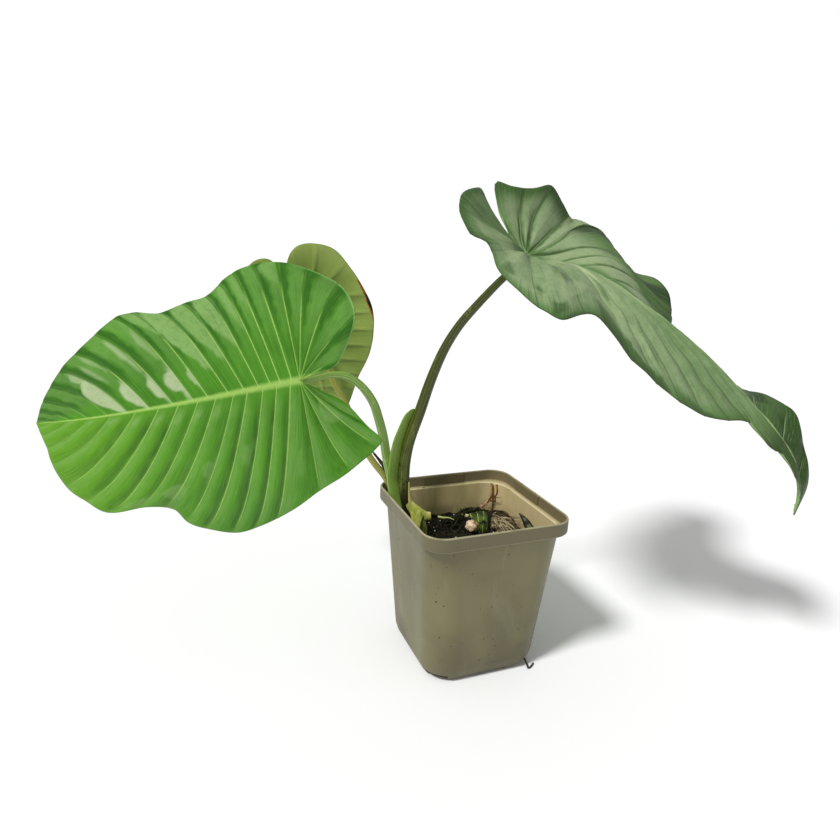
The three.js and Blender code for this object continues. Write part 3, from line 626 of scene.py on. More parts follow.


# Areas for patches(): the front leaf's painted reflections and painted sheen on its flanks above its midrib,
# and its painted sheen below
FRONT_PAINTED_REFLECTIONS = [
    [16, 0.02, 0.85, 0.02, 0.62, 0.85], [16, 0.02, 0.35, 0.55, 0.85, 0.6], [15, 0.02, 0.5, 0.02, 0.3, 0.9],
    [14, 0.02, 0.34, 0.05, 0.24, 0.9], [13, 0.0, 0.6, 0.05, 0.22, 0.85], [12, 0.0, 0.28, 0.09, 0.18, 0.7],
    [14, 0.08, 0.24, 0.33, 0.8, 0.55], [13, 0.12, 0.3, 0.36, 0.66, 0.35], [15, 0.08, 0.22, 0.55, 0.9, 0.4],
    [15, 0.5, 0.66, 0.42, 0.78, 0.4],
]
FRONT_PAINTED_SHEEN = [
    [11, 0.0, 0.95, 0.2, 1.1, 0.95], [12, -0.1, 0.7, 0.55, 1.1, 0.8], [10, 0.0, 0.8, 0.22, 1.05, 0.85],
    [9, 0.0, 0.8, 0.28, 1.0, 0.9], [8, 0.05, 0.5, 0.34, 0.93, 0.8], [7, 0.05, 0.5, 0.42, 0.9, 0.65],
    [5, 0.1, 0.8, 0.55, 0.97, 0.6], [6, 0.1, 0.6, 0.6, 0.95, 0.35], [13, 0.0, 0.3, 0.3, 0.93, 0.45],
    [14, 0.3, 0.7, 0.5, 0.95, 0.3], [4, 0.1, 0.5, 0.3, 0.6, 0.3],
]
FRONT_PAINTED_SHEEN_BELOW = [
    [11, -0.3, 0.6, 0.62, 0.8, 0.45], [10, 0.0, 0.5, 0.36, 0.5, 0.4], [12, 0.0, 0.9, 0.75, 0.92, 0.35],
    [3, -0.2, 0.7, 0.2, 0.45, 0.5], [8, 0.2, 0.8, 0.25, 0.35, 0.3], [6, -0.6, 0.0, 0.35, 0.55, 0.25],
]


def no_tones(rough):
    """Plain tones: pale veins and nothing else."""
    none = np.zeros(len(rough))
    return {"dark": none, "pale": none, "shine": none, "fresh": none, "scorch": none,
            "pale_vein": 0.4 + none, "dark_vein": none}


def front_tones(marks, rough):
    """Front leaf: on the upper half painted reflections, a painted paler flank on the tip side of each vein
    and a dark band of painted shade before the next one; on the lower half the band of painted shade comes
    first, with painted sheen on the ridges and at the pleats' ends. The veins darken to creases of painted
    shade towards the upper margin, the lower half is fresher towards the tip, the upper lobe's edge rolls
    over with a pale lip and painted shade inside it, and the midrib narrows towards the tip."""
    tones = no_tones(rough)
    number, out, along = marks["vein_number"], marks["outward"], marks["along"]
    phase = number % 1 + 0.05 * rough
    above = marks["far_half"] < 0.5
    outer = step_up(0.05, 0.5, out)
    fades = step_up(1.02, 0.9, out)
    # Painted shade on the flank of each pleat that faces away from the light, above and below the midrib
    band = step_up(0.58, 0.74, phase) * step_up(1.04, 0.94, phase) * (0.3 + 0.6 * outer)
    middle = bump(number, 14, 3.2) * bump(out, 0.42, 0.3) * 0.45
    tip_shade = step_up(14.8, 16.5, number) * step_up(0.15, 0.4, out) * 0.75
    # Painted shade inside the upper lobe's rolled edge
    lobe = step_up(5, 3.4, number) * step_up(0.7, 0.93, out) * step_up(0.4, 1.2, number) * 0.8
    lip = step_up(0.955, 0.975, out) * step_up(5.2, 4, number)
    uneven = 0.35 + 0.3 * np.sin(7.3 * np.floor(number)) + 0.25 * rough * np.sin(5 * out)
    band_below = step_up(0.0, 0.08, phase) * step_up(0.5, 0.15, phase) * uneven
    band_below = band_below * step_up(0.02, 0.15, out) * fades
    band_below = np.clip(band_below, 0, 1) * step_up(0.95, 0.6, along)
    band_above = np.maximum.reduce([band, middle, tip_shade, lobe]) * (1 - lip)
    tones["dark"] = np.where(above, band_above, band_below)
    # Painted sheen and highlights: on the flank after each vein above the midrib, on the ridges below it and
    # at the pleats' ends
    flank = step_up(0.0, 0.04, phase) * step_up(0.66, 0.5, phase) * 0.28 * outer
    ridge_below = step_up(0.5, 0.85, phase) * step_up(1.02, 0.97, phase) * 0.3 * step_up(0, 0.1, out)
    pleat_ends = bump(out, 0.09, 0.05) * bump(phase, 0.75, 0.2) * step_up(8, 11, number) * 0.6
    painted_sheen = np.maximum(patches(marks, rough, FRONT_PAINTED_SHEEN), flank)
    painted_sheen_below = np.maximum.reduce([patches(marks, rough, FRONT_PAINTED_SHEEN_BELOW), ridge_below, pleat_ends])
    tones["pale"] = np.where(above, np.maximum(painted_sheen, lip * 0.8), painted_sheen_below)
    # Painted reflections above the midrib
    tones["shine"] = np.where(above, patches(marks, rough, FRONT_PAINTED_REFLECTIONS), 0)
    tones["dark"] = tones["dark"] * (1 - 0.8 * tones["pale"]) * (1 - tones["shine"])
    tones["fresh"] = np.where(above, 0.15, 0.25 + 0.6 * step_up(0.3, 0.9, along))
    marks["rib_width"] = marks["rib_width"] * (0.35 + 0.95 * np.clip(1 - along, 0, 1))
    tones["pale_vein"] = np.where(above, 0.75 * step_up(0.62, 0.35, out), 0.7 * step_up(0.98, 0.7, out))
    tones["pale_vein"] = np.where(number > 15.5, tones["pale_vein"] * 0.35, tones["pale_vein"])
    # Painted shade along the veins' creases
    tones["dark_vein"] = np.where(above, 0.6 * step_up(0.4, 0.65, out), 0.2 * step_up(12, 14, number))
    return tones


# Areas for patches(): painted sheen, and painted shade of dents and dark strips by the margin, on the right
# leaf's near half
RIGHT_PAINTED_SHEEN = [
    [3, 0.25, 0.6, 0.35, 0.78, 0.8], [3, 0.7, 0.98, 0.78, 0.92, 0.5], [4, 0.55, 1.3, 0.68, 0.84, 0.8],
    [5, 0.5, 2.3, 0.6, 0.84, 0.75], [2, 0.2, 1.2, 0.4, 0.84, 0.7], [7, 0.25, 0.42, 0.66, 0.84, 0.9],
]
# Painted shade of the near half's dents, and dark strips by its margin
RIGHT_DARK_AREAS = [
    [3, 0.4, 0.6, 0.81, 0.92, 0.7], [4, 0.04, 0.14, 0.79, 0.84, 0.9], [4, 0.28, 0.6, 0.86, 0.97, 0.8],
    [4, 0.72, 0.9, 0.6, 0.72, 0.6], [4, 0.6, 0.78, 0.5, 0.6, 0.5], [6, 0.18, 0.42, 0.45, 0.63, 0.7],
    [5, 0.35, 2.6, 0.88, 1.1, 0.75], [7, 0.45, 0.62, 0.7, 0.86, 0.5], [0, 0.0, 3.0, 0.9, 1.1, 0.4],
    [8, 0.0, 1.5, 0.93, 1.1, 0.6], [4, 0.25, 1.2, 0.96, 1.1, 0.5],
]


def right_tones(marks, rough):
    """Right leaf: the near half has a broad painted grey-green sheen and painted highlights, painted shade in
    its dents, fine lines of painted shade along its veins and a deep green margin; the far half has painted
    light on its ridges between narrow dark valleys of painted shade, palest on the broad panel beside the
    petiole, and the far lobe and the tip are deep green."""
    tones = no_tones(rough)
    number, out, along = marks["vein_number"], marks["outward"], marks["along"]
    phase = number % 1 + 0.04 * rough
    far = marks["far_half"] > 0.5
    beside = np.minimum(number % 1, 1 - number % 1) * marks["vein_gap"] + 0.25 * rough
    # Painted shade in the narrow valleys beside the veins
    valley = step_up(2.6, 0.5, beside) * step_up(0.03, 0.2, out)
    valley = valley * np.where(np.abs(number - 5) < 0.5, step_up(0.45, 0.75, out), 1)
    deep_far = step_up(0.3, 0.42, along) * 0.6
    deep_tip = step_up(0.66, 0.8, along)
    # Painted shade of the dents, and dark strips by the margin
    dents = patches(marks, rough, RIGHT_DARK_AREAS)
    fan_edge = step_up(0.7, 0.88, out) * step_up(4.1, 3.9, number)
    fan_edge = fan_edge * (0.4 + 0.45 * step_up(2.6, 3.2, number))
    # Painted shade in the fan's hollows
    hollow = step_up(0.62, 0.2, phase) * step_up(0.3, 0.5, out) * step_up(4.8, 5, number)
    tones["dark"] = np.where(far, np.maximum.reduce([0.85 * valley, deep_far, fan_edge, hollow]),
                             np.maximum(dents, 0.2 * valley))
    tones["dark"] = np.maximum(tones["dark"], deep_tip)
    # Painted light on the far half's ridges and broad panel
    ridge = step_up(0.8, 3.0, beside) * step_up(0.02, 0.15, out)
    panel = step_up(3.9, 4.1, number) * step_up(5.1, 4.9, number)
    reach = np.where(number < 4, step_up(0.95, 0.7, out), step_up(0.62, 0.36, out))
    ridge = ridge * np.maximum(panel, reach) * step_up(0.42, 0.28, along)
    ridge = ridge * np.where(number < 2, 0.25 + 0.75 * step_up(1.3, 1.6, number), 1)
    # Painted grey-green sheen on the near half
    sheen = step_up(0.0, 0.25, out) * step_up(1.01, 0.88, out)
    sheen = sheen * (0.35 + 0.65 * step_up(2.6, 3.2, number))
    sheen = sheen * (1 - 0.35 * step_up(8, 10, number)) * (0.8 + 0.2 * bump(phase, 0.5, 0.3))
    sheen = np.clip(np.maximum(sheen, patches(marks, rough, RIGHT_PAINTED_SHEEN)) * (1 + 0.08 * rough), 0, 1)
    tones["pale"] = np.where(far, 0.95 * ridge, 0.9 * sheen) * (1 - 0.9 * deep_tip) * (1 - dents * ~far)
    # Painted highlights
    lit = bump(number, 6.2, 1.0) * bump(out, 0.42, 0.14) * 0.85
    lit = np.maximum(lit, patches(marks, rough, RIGHT_PAINTED_SHEEN) * 0.35)
    rib_highlight = step_up(4.5, 5.5, number) * step_up(0.3, 0.05, out) * step_up(0.45, 0.3, along) * 0.6
    tones["shine"] = np.where(far, 0.3 * ridge * np.maximum(panel, step_up(0.6, 0.2, out)),
                              np.maximum(lit, rib_highlight) * (1 - dents))
    tones["dark"] = tones["dark"] * (1 - 0.7 * tones["pale"])
    tones["fresh"] = np.maximum(np.where(far, 0.35 + 0.4 * deep_far, 0.1), 0.6 * deep_tip)
    tones["pale_vein"] = np.where(far, 0.5, 0.25) * step_up(0.95, 0.4, out)
    # Painted shade along the vein creases, left out at the fifth vein
    fifth = step_up(0.3, 0.15, np.abs(number - 5)) * step_up(0.95, 0.6, out)
    creases = 0.5 * step_up(0.35, 0.6, out) * (1 - fifth)
    tones["dark_vein"] = np.where(far, creases, 0.6 * step_up(0.05, 0.3, out))
    return tones


def back_tones(marks, rough):
    """Back leaf: a dried margin at the edge of its outer lobe, fading inwards, and darker towards the tip."""
    tones = no_tones(rough)
    at_edge = step_up(0.93, 1.0, marks["outward"] + 0.015 * rough)
    tones["scorch"] = at_edge * bump(marks["vein_number"], 5.5, 0.9) * (marks["far_half"] < 0.5)
    tones["dark"] = 0.3 * step_up(0.1, 0.5, marks["along"])
    return tones


def add_leaf(name, leaf, look, tones):
    """A leaf's blade, with the tones that its function works out as marks."""
    points, faces, marks = blade(leaf)
    marks.update(tones(marks, waves(points, 7, 23)))
    finish = leaf_finish(name + "_skin", look)
    return add_piece(name + "_blade", points, faces, finish, [name], marks, BLADE_SEAM)


# Rods: a round profile carried along a line
def path_through(line, count):
    """Points at even spacing on the smooth line through the given points, whose knots are the square roots
    of the distances between them."""
    points = np.array(line, float)
    knots = np.r_[0, np.cumsum(np.sqrt(np.linalg.norm(np.diff(points, axis=0), axis=1)))]
    fine = np.linspace(0, knots[-1], 40 * len(points))
    dense = np.stack([smooth(knots, points[:, i], fine) for i in range(3)], -1)
    run = np.r_[0, np.cumsum(np.linalg.norm(np.diff(dense, axis=0), axis=1))]
    want = np.linspace(0, run[-1], count)
    return np.stack([np.interp(want, run, dense[:, i]) for i in range(3)], -1)


def rod(line, radius_at, rings=120, sides=40, up=(0, 1, 0), flatness=1.0, round_end=0.0):
    """A tube along a line: at share s and angle t its radius is radius_at(s, t), its width lies across the up
    direction, and both ends close to a point. Returns points, faces, s and t."""
    path = path_through(line, rings)
    tangent = unit(np.gradient(path, axis=0))
    wide = unit(np.cross(np.array(up, float), tangent))
    high = np.cross(tangent, wide)
    s = np.linspace(0, 1, rings)[:, None]
    t = np.linspace(0, 2 * math.pi, sides, endpoint=False)[None, :]
    radius = radius_at(s, t) * np.ones((rings, sides))
    if round_end:
        radius = radius * np.sqrt(np.clip(1 - ((s - 1 + round_end) / round_end).clip(0) ** 2, 0.0004, 1))
    across = wide[:, None, :] * np.cos(t)[..., None] + high[:, None, :] * np.sin(t)[..., None] * flatness
    points = path[:, None, :] + across * radius[..., None]
    first, last = points[:1].mean(1, keepdims=True), points[-1:].mean(1, keepdims=True)
    ends = np.ones((1, sides, 1))
    points = np.concatenate([first * ends, points, last * ends]).reshape(-1, 3)
    faces = grid_faces(rings + 2, sides, wrap_columns=True)[:, ::-1]
    share = np.concatenate([s[:1], s, s[-1:]]) * np.ones((1, sides))
    turn = t * np.ones((rings + 2, 1))
    return points, faces, share.ravel(), turn.ravel()


def together(*parts):
    """Several closed shells as one: each part is (points, faces, marks)."""
    start, points, faces, marks = 0, [], [], {}
    for p, f, m in parts:
        points.append(p)
        faces.append(f + start)
        start += len(p)
        for key, values in m.items():
            marks.setdefault(key, []).append(values)
    return np.vstack(points), np.vstack(faces), {key: np.concatenate(v) for key, v in marks.items()}


def threads(starts, ends, rise, radii, seed, wander=1.5, rings=14, sides=6):
    """Many thin roots as one piece: each is a straight line from start to end, lifted by an arch of second
    order, pushed about by two slow waves, and tapering to a third of its radius. Marks: a random tint."""
    draw = np.random.default_rng(seed)
    starts, ends = np.asarray(starts, float), np.asarray(ends, float)
    count = len(starts)
    s = np.linspace(0, 1, rings)[None, :, None]
    arch = 4 * s * (1 - s)
    path = starts[:, None] * (1 - s) + ends[:, None] * s
    path = path + arch * np.asarray(rise, float).reshape(-1, 1, 1) * np.array([0, 0, 1.0])
    sway = draw.normal(size=(2, count, 1, 3)) * wander
    path = path + sway[0] * np.sin(math.pi * s) * 0.5 + sway[1] * np.sin(2 * math.pi * s) * 0.4
    tangent = unit(np.gradient(path, axis=1))
    wide = unit(np.cross(tangent, [0.3, 0.2, 1.0]))
    high = np.cross(tangent, wide)
    t = np.linspace(0, 2 * math.pi, sides, endpoint=False)[:, None]
    radius = (np.asarray(radii, float).reshape(-1, 1, 1) * (1 - 0.67 * s))[..., None]
    ring = wide[:, :, None] * np.cos(t) + high[:, :, None] * np.sin(t)
    points = path[:, :, None] + ring * radius
    first = np.repeat(path[:, :1, None], sides, axis=2)
    last = np.repeat(path[:, -1:, None], sides, axis=2)
    points = np.concatenate([first, points, last], axis=1)
    one = grid_faces(rings + 2, sides, wrap_columns=True)
    faces = one[None] + (np.arange(count) * (rings + 2) * sides)[:, None, None]
    tint = np.repeat(draw.uniform(0, 1, count), (rings + 2) * sides)
    return points.reshape(-1, 3), faces.reshape(-1, 4), {"tint": tint}


PETIOLE_RIGHT_LINE = [
    [-31.8, 24.2, 79], [-32, 24.6, 81.9], [-32.7, 25.2, 85.7], [-33.6, 26.3, 91.7], [-32.7, 28.3, 103],
    [-31.4, 30.3, 114.5], [-28.4, 31.8, 126.9], [-21.6, 32.6, 145.5], [-15.3, 33.4, 164], [-7.7, 33.6, 182],
    [0.6, 31.6, 197], [10.2, 28.2, 210], [21, 25.5, 222.5], [29.4, 23, 231.2], [34.6, 22.1, 236.6],
]
RIGHT_WING_LINE = [
    [-36.2, 21.9, 87.6], [-38.8, 23.4, 95.8], [-40.1, 26.3, 105.8], [-38.3, 28.5, 116.4],
    [-35.7, 30.6, 126.3], [-32.6, 31.8, 134], [-29.6, 32.7, 140.5], [-25.1, 33.1, 146.4],
]
PETIOLE_FRONT_LINE = [
    [-38, 24.6, 79], [-38.1, 24.8, 81], [-38.8, 25.3, 86.2], [-39.8, 26.4, 91.7], [-40.2, 28.5, 103.5],
    [-43.1, 29.5, 116.4], [-45.8, 28.6, 129.6], [-49.3, 28.4, 142.3], [-53.5, 28.2, 153.6],
    [-60.5, 28.8, 163.2], [-68.5, 30.6, 168.6], [-77, 31.8, 169.8], [-85.5, 31.9, 168.4], [-94, 31.2, 167],
]
PETIOLE_BACK_LINE = [
    [-35.3, 31.3, 79], [-35.4, 31.4, 80.5], [-36, 32, 85], [-37.4, 33.3, 93.5], [-41.4, 36.2, 102.6],
    [-50, 41.5, 114.9], [-55.9, 48.4, 129.3], [-62.1, 56.5, 146.6], [-67.2, 61.8, 157],
    [-74.3, 71.6, 175.3], [-80, 80.6, 192], [-83.2, 86, 200.4],
]


def stalk(line, radii, channel=0.0, ribs=0.03, **options):
    """A petiole: its radius goes smoothly through its foot, middle and top values, with nine fine ribs and a
    channel along its upper side, as deep as the channel's share of the radius."""

    def radius_at(s, t):
        """Radius at share s and angle t."""
        ribbed = 1 + ribs * np.cos(9 * t + 6 * s)
        grooved = 1 - channel * bump(t, 1.5 * math.pi, 0.42)
        return smooth([0, 0.5, 1], radii, s) * ribbed * grooved

    points, faces, share, turn = rod(line, radius_at, rings=200, sides=48, **options)
    return points, faces, {"share": share, "turn": turn}


def petiole_finish(name, skin, deep, foot, edge, blotch=0.0, foot_end=0.14, wing=None, top=None):
    """Petiole skin: two greens in streaks along it, a darker foot, pale ribs, dark blotches, a greener wing
    and a darker upper part."""
    finish, tree, shader = new_finish(name)
    where = place_of(tree)
    share, turn = mark(tree, "share"), mark(tree, "turn")
    around = {0: calc(tree, "SINE", turn), 1: calc(tree, "COSINE", turn),
              2: calc(tree, "MULTIPLY", share, 1.2)}
    streak_place = node(tree, "ShaderNodeCombineXYZ", around).outputs[0]
    streaks = noise(tree, streak_place, 6, 4)
    colour = blend(tree, between(tree, streaks, 0.35, 0.65), paint(skin), paint(deep))
    if top:
        colour = blend(tree, between(tree, share, 0.2, 0.5, 0, 0.75), colour, paint(top))
    ridge = calc(tree, "COSINE", calc(tree, "MULTIPLY_ADD", turn, 9.0, calc(tree, "MULTIPLY", share, 6.0)))
    colour = blend(tree, between(tree, ridge, 0.2, 1.0, 0, 0.3), colour, paint(edge))
    spots = noise(tree, stretched(tree, where, (1, 1, 0.45)), 230, 2)
    colour = blend(tree, between(tree, spots, 0.62, 0.7, 0, 0.35), colour, paint(edge))
    stain = calc(tree, "MULTIPLY", between(tree, noise(tree, where, 170, 3, 0.6), 0.5, 0.6),
                 between(tree, share, foot_end, foot_end * 2.2, blotch, 0))
    colour = blend(tree, stain, colour, paint("2a2313"))
    colour = blend(tree, between(tree, share, foot_end * 0.4, foot_end, 1, 0), colour, paint(foot))
    if wing:
        colour = blend(tree, calc(tree, "MULTIPLY", mark(tree, "green"), 0.85), colour, paint(wing))
    relief = bumps(tree, noise(tree, stretched(tree, where, (1, 1, 0.15)), 900, 3), 0.08, 0.6)
    dress(tree, shader, colour, between(tree, streaks, 0.3, 0.7, 0.34, 0.5), relief)
    shader.inputs["Subsurface Weight"].default_value = 0.15
    shader.inputs["Subsurface Radius"].default_value = (0.0008, 0.0012, 0.0004)
    return finish


def add_petioles():
    """The three petioles, and the flat wing at the foot of the right one."""
    stem = stalk(PETIOLE_RIGHT_LINE, [4.3, 3.1, 2.0], 0.1)
    wing = stalk(RIGHT_WING_LINE, [3.6, 5.6, 3.6], 0.0, 0.02, flatness=0.2, round_end=0.12,
                 up=(-0.5, 0.87, 0))
    wing[2]["share"] = 0.12 + 0.28 * wing[2]["share"]
    stem[2]["green"], wing[2]["green"] = np.zeros(len(stem[0])), np.ones(len(wing[0]))
    points, faces, marks = together(stem, wing)
    finish = petiole_finish("olive_petiole", skin="56601f", deep="3c4715", foot="1b1c0a", edge="757a3a",
                            blotch=1.0, foot_end=0.14, wing="84a943", top="2f3812")
    add_piece("right_petiole_stalk", points, faces, finish, ["petiole_right"], marks, SEAM)
    points, faces, marks = stalk(PETIOLE_FRONT_LINE, [2.4, 2.7, 1.5], 0.22)
    finish = petiole_finish("pale_petiole", skin="7b9a40", deep="5f8632", foot="6f6a2d", edge="b5c58a",
                            blotch=0.2, foot_end=0.12)
    add_piece("front_petiole_stalk", points, faces, finish, ["petiole_front"], marks, SEAM)
    points, faces, marks = stalk(PETIOLE_BACK_LINE, [2.1, 1.9, 1.6], 0.12)
    finish = petiole_finish("yellow_petiole", skin="949448", deep="7c803c", foot="6f652c", edge="b5a75c",
                            blotch=0.3, foot_end=0.12)
    add_piece("back_petiole_stalk", points, faces, finish, ["petiole_back"], marks, SEAM)


# Pot
def rounded_square(half, corner, count=16, side=10):
    """Ring of points round a square with round corners, against the clock seen from above: each corner is a
    quarter circle in even steps, and each side is straight."""
    half, corner = np.asarray(half, float), np.asarray(corner, float)
    ring = []
    for quarter in range(4):
        angle = quarter * math.pi / 2 + np.linspace(0, math.pi / 2, count + 1)
        middle = quarter * math.pi / 2
        cx = (half - corner) * (math.cos(middle) - math.sin(middle))
        cy = (half - corner) * (math.cos(middle) + math.sin(middle))
        arc = np.stack([cx[..., None] + corner[..., None] * np.cos(angle),
                        cy[..., None] + corner[..., None] * np.sin(angle)], -1)
        ring.append(arc)
        turned = middle + math.pi / 2
        nx = (half - corner) * (math.cos(turned) - math.sin(turned))
        ny = (half - corner) * (math.cos(turned) + math.sin(turned))
        first = np.stack([nx + corner * math.cos(turned), ny + corner * math.sin(turned)], -1)
        share = (np.arange(1, side) / side)[:, None]
        ring.append(arc[..., -1:, :] * (1 - share) + first[..., None, :] * share)
    return np.concatenate(ring, axis=-2)


def wall_half(z):
    """Half-width of the pot's outer wall at height z, on a straight line from foot to collar."""
    share = (z - FOOT_HEIGHT) / (COLLAR_FOOT - FOOT_HEIGHT)
    return POT_HALF_AT_FOOT + (POT_HALF_AT_COLLAR - POT_HALF_AT_FOOT) * share


def rounded_profile(profile, radius, steps=4):
    """The profile with each of its inner corners cut back by the radius and bridged by a curve of second
    order, so that the wall's edges are round."""
    points = np.array(profile, float)
    made = [points[:1]]
    s = np.linspace(0, 1, steps + 1)[:, None]
    for before, at, after in zip(points[:-2], points[1:-1], points[2:]):
        leave, arrive = before - at, after - at
        cut_in = min(radius, 0.45 * np.linalg.norm(leave[:2]))
        cut_out = min(radius, 0.45 * np.linalg.norm(arrive[:2]))
        start = at + leave / max(np.linalg.norm(leave[:2]), 1e-6) * cut_in
        end = at + arrive / max(np.linalg.norm(arrive[:2]), 1e-6) * cut_out
        made.append(start * (1 - s) ** 2 + 2 * at * s * (1 - s) + end * s * s)
    made.append(points[-1:])
    return np.vstack(made)


def pot_shell():
    """The pot's wall and floor as one closed shell: a profile of height, half-width and corner radius, up
    the outside, over the rim and down the inside, carried round a square with round corners."""
    profile = [
        [0, 0.5, 0.4], [0, POT_HALF_AT_BASE, WALL_CORNER - 5.5],
        [1.1, POT_HALF_AT_BASE + 3.1, WALL_CORNER - 3],
        [3.6, POT_HALF_AT_FOOT - 1.3, WALL_CORNER - 1.3],
        [FOOT_HEIGHT, POT_HALF_AT_FOOT, WALL_CORNER - 0.5],
        [COLLAR_FOOT - 30, wall_half(COLLAR_FOOT - 30), WALL_CORNER - 0.2],
        [COLLAR_FOOT - 0.4, POT_HALF_AT_COLLAR, WALL_CORNER],
        [COLLAR_FOOT, POT_HALF_AT_RIM - 0.5, RIM_CORNER + 0.3],
        [COLLAR_FOOT + 0.7, POT_HALF_AT_RIM, RIM_CORNER],
        [POT_HEIGHT - 0.6, POT_HALF_AT_RIM, RIM_CORNER],
        [POT_HEIGHT, POT_HALF_AT_RIM - 0.5, RIM_CORNER - 0.4],
        [POT_HEIGHT, POT_HALF_AT_RIM - WALL, RIM_CORNER - WALL],
        [COLLAR_FOOT + 1.8, POT_HALF_AT_RIM - WALL - 0.4, RIM_CORNER - WALL],
        [COLLAR_FOOT + 1.3, POT_HALF_AT_COLLAR - WALL, WALL_CORNER - WALL],
        [COLLAR_FOOT - 30, wall_half(COLLAR_FOOT - 30) - WALL, WALL_CORNER - WALL - 0.2],
        [FOOT_HEIGHT, POT_HALF_AT_FOOT - WALL, WALL_CORNER - WALL - 0.5],
        [FLOOR, POT_HALF_AT_BASE, WALL_CORNER - 5.5], [FLOOR, 0.5, 0.4],
    ]
    fine = rounded_profile(profile, 0.7)
    ring = rounded_square(fine[:, 1], fine[:, 2])
    height = np.broadcast_to(fine[:, 0][:, None, None], (*ring.shape[:2], 1))
    points = np.concatenate([ring, height], -1)
    rows, columns = points.shape[:2]
    faces = grid_faces(rows, columns, wrap_columns=True)[:, ::-1].tolist()
    faces.append(list(range(columns))[::-1])
    faces.append(list(range((rows - 1) * columns, rows * columns)))
    return points.reshape(-1, 3), faces


def box_mesh(size, centre, turn):
    """A box of a given size about a centre, turned about the upright axis through the origin."""
    made = bmesh.new()
    bmesh.ops.create_cube(made, size=1.0)
    for vertex in made.verts:
        vertex.co = Vector([c * s for c, s in zip(vertex.co, size)]) + Vector(centre)
    bmesh.ops.rotate(made, cent=(0, 0, 0), matrix=Matrix.Rotation(turn, 3, "Z"), verts=made.verts)
    bmesh.ops.scale(made, vec=(MM, MM, MM), verts=made.verts)
    return made


def carve(piece, boxes, operation="DIFFERENCE"):
    """Takes boxes away from a piece, or joins them to it, and keeps the result as its mesh."""
    made = bmesh.new()
    for size, centre, turn in boxes:
        mesh = bpy.data.meshes.new("cutter")
        box = box_mesh(size, centre, turn)
        box.to_mesh(mesh)
        made.from_mesh(mesh)
        box.free()
        bpy.data.meshes.remove(mesh)
    mesh = bpy.data.meshes.new("cutters")
    made.to_mesh(mesh)
    made.free()
    cutter = bpy.data.objects.new("cutters", mesh)
    bpy.context.scene.collection.objects.link(cutter)
    cut = piece.modifiers.new("cut", "BOOLEAN")
    cut.operation = operation
    cut.object = cutter
    cut.solver = "EXACT"
    bpy.context.view_layer.update()
    evaluated = piece.evaluated_get(bpy.context.evaluated_depsgraph_get())
    result = bpy.data.meshes.new_from_object(evaluated)
    piece.modifiers.clear()
    piece.data = result
    bpy.data.objects.remove(cutter)


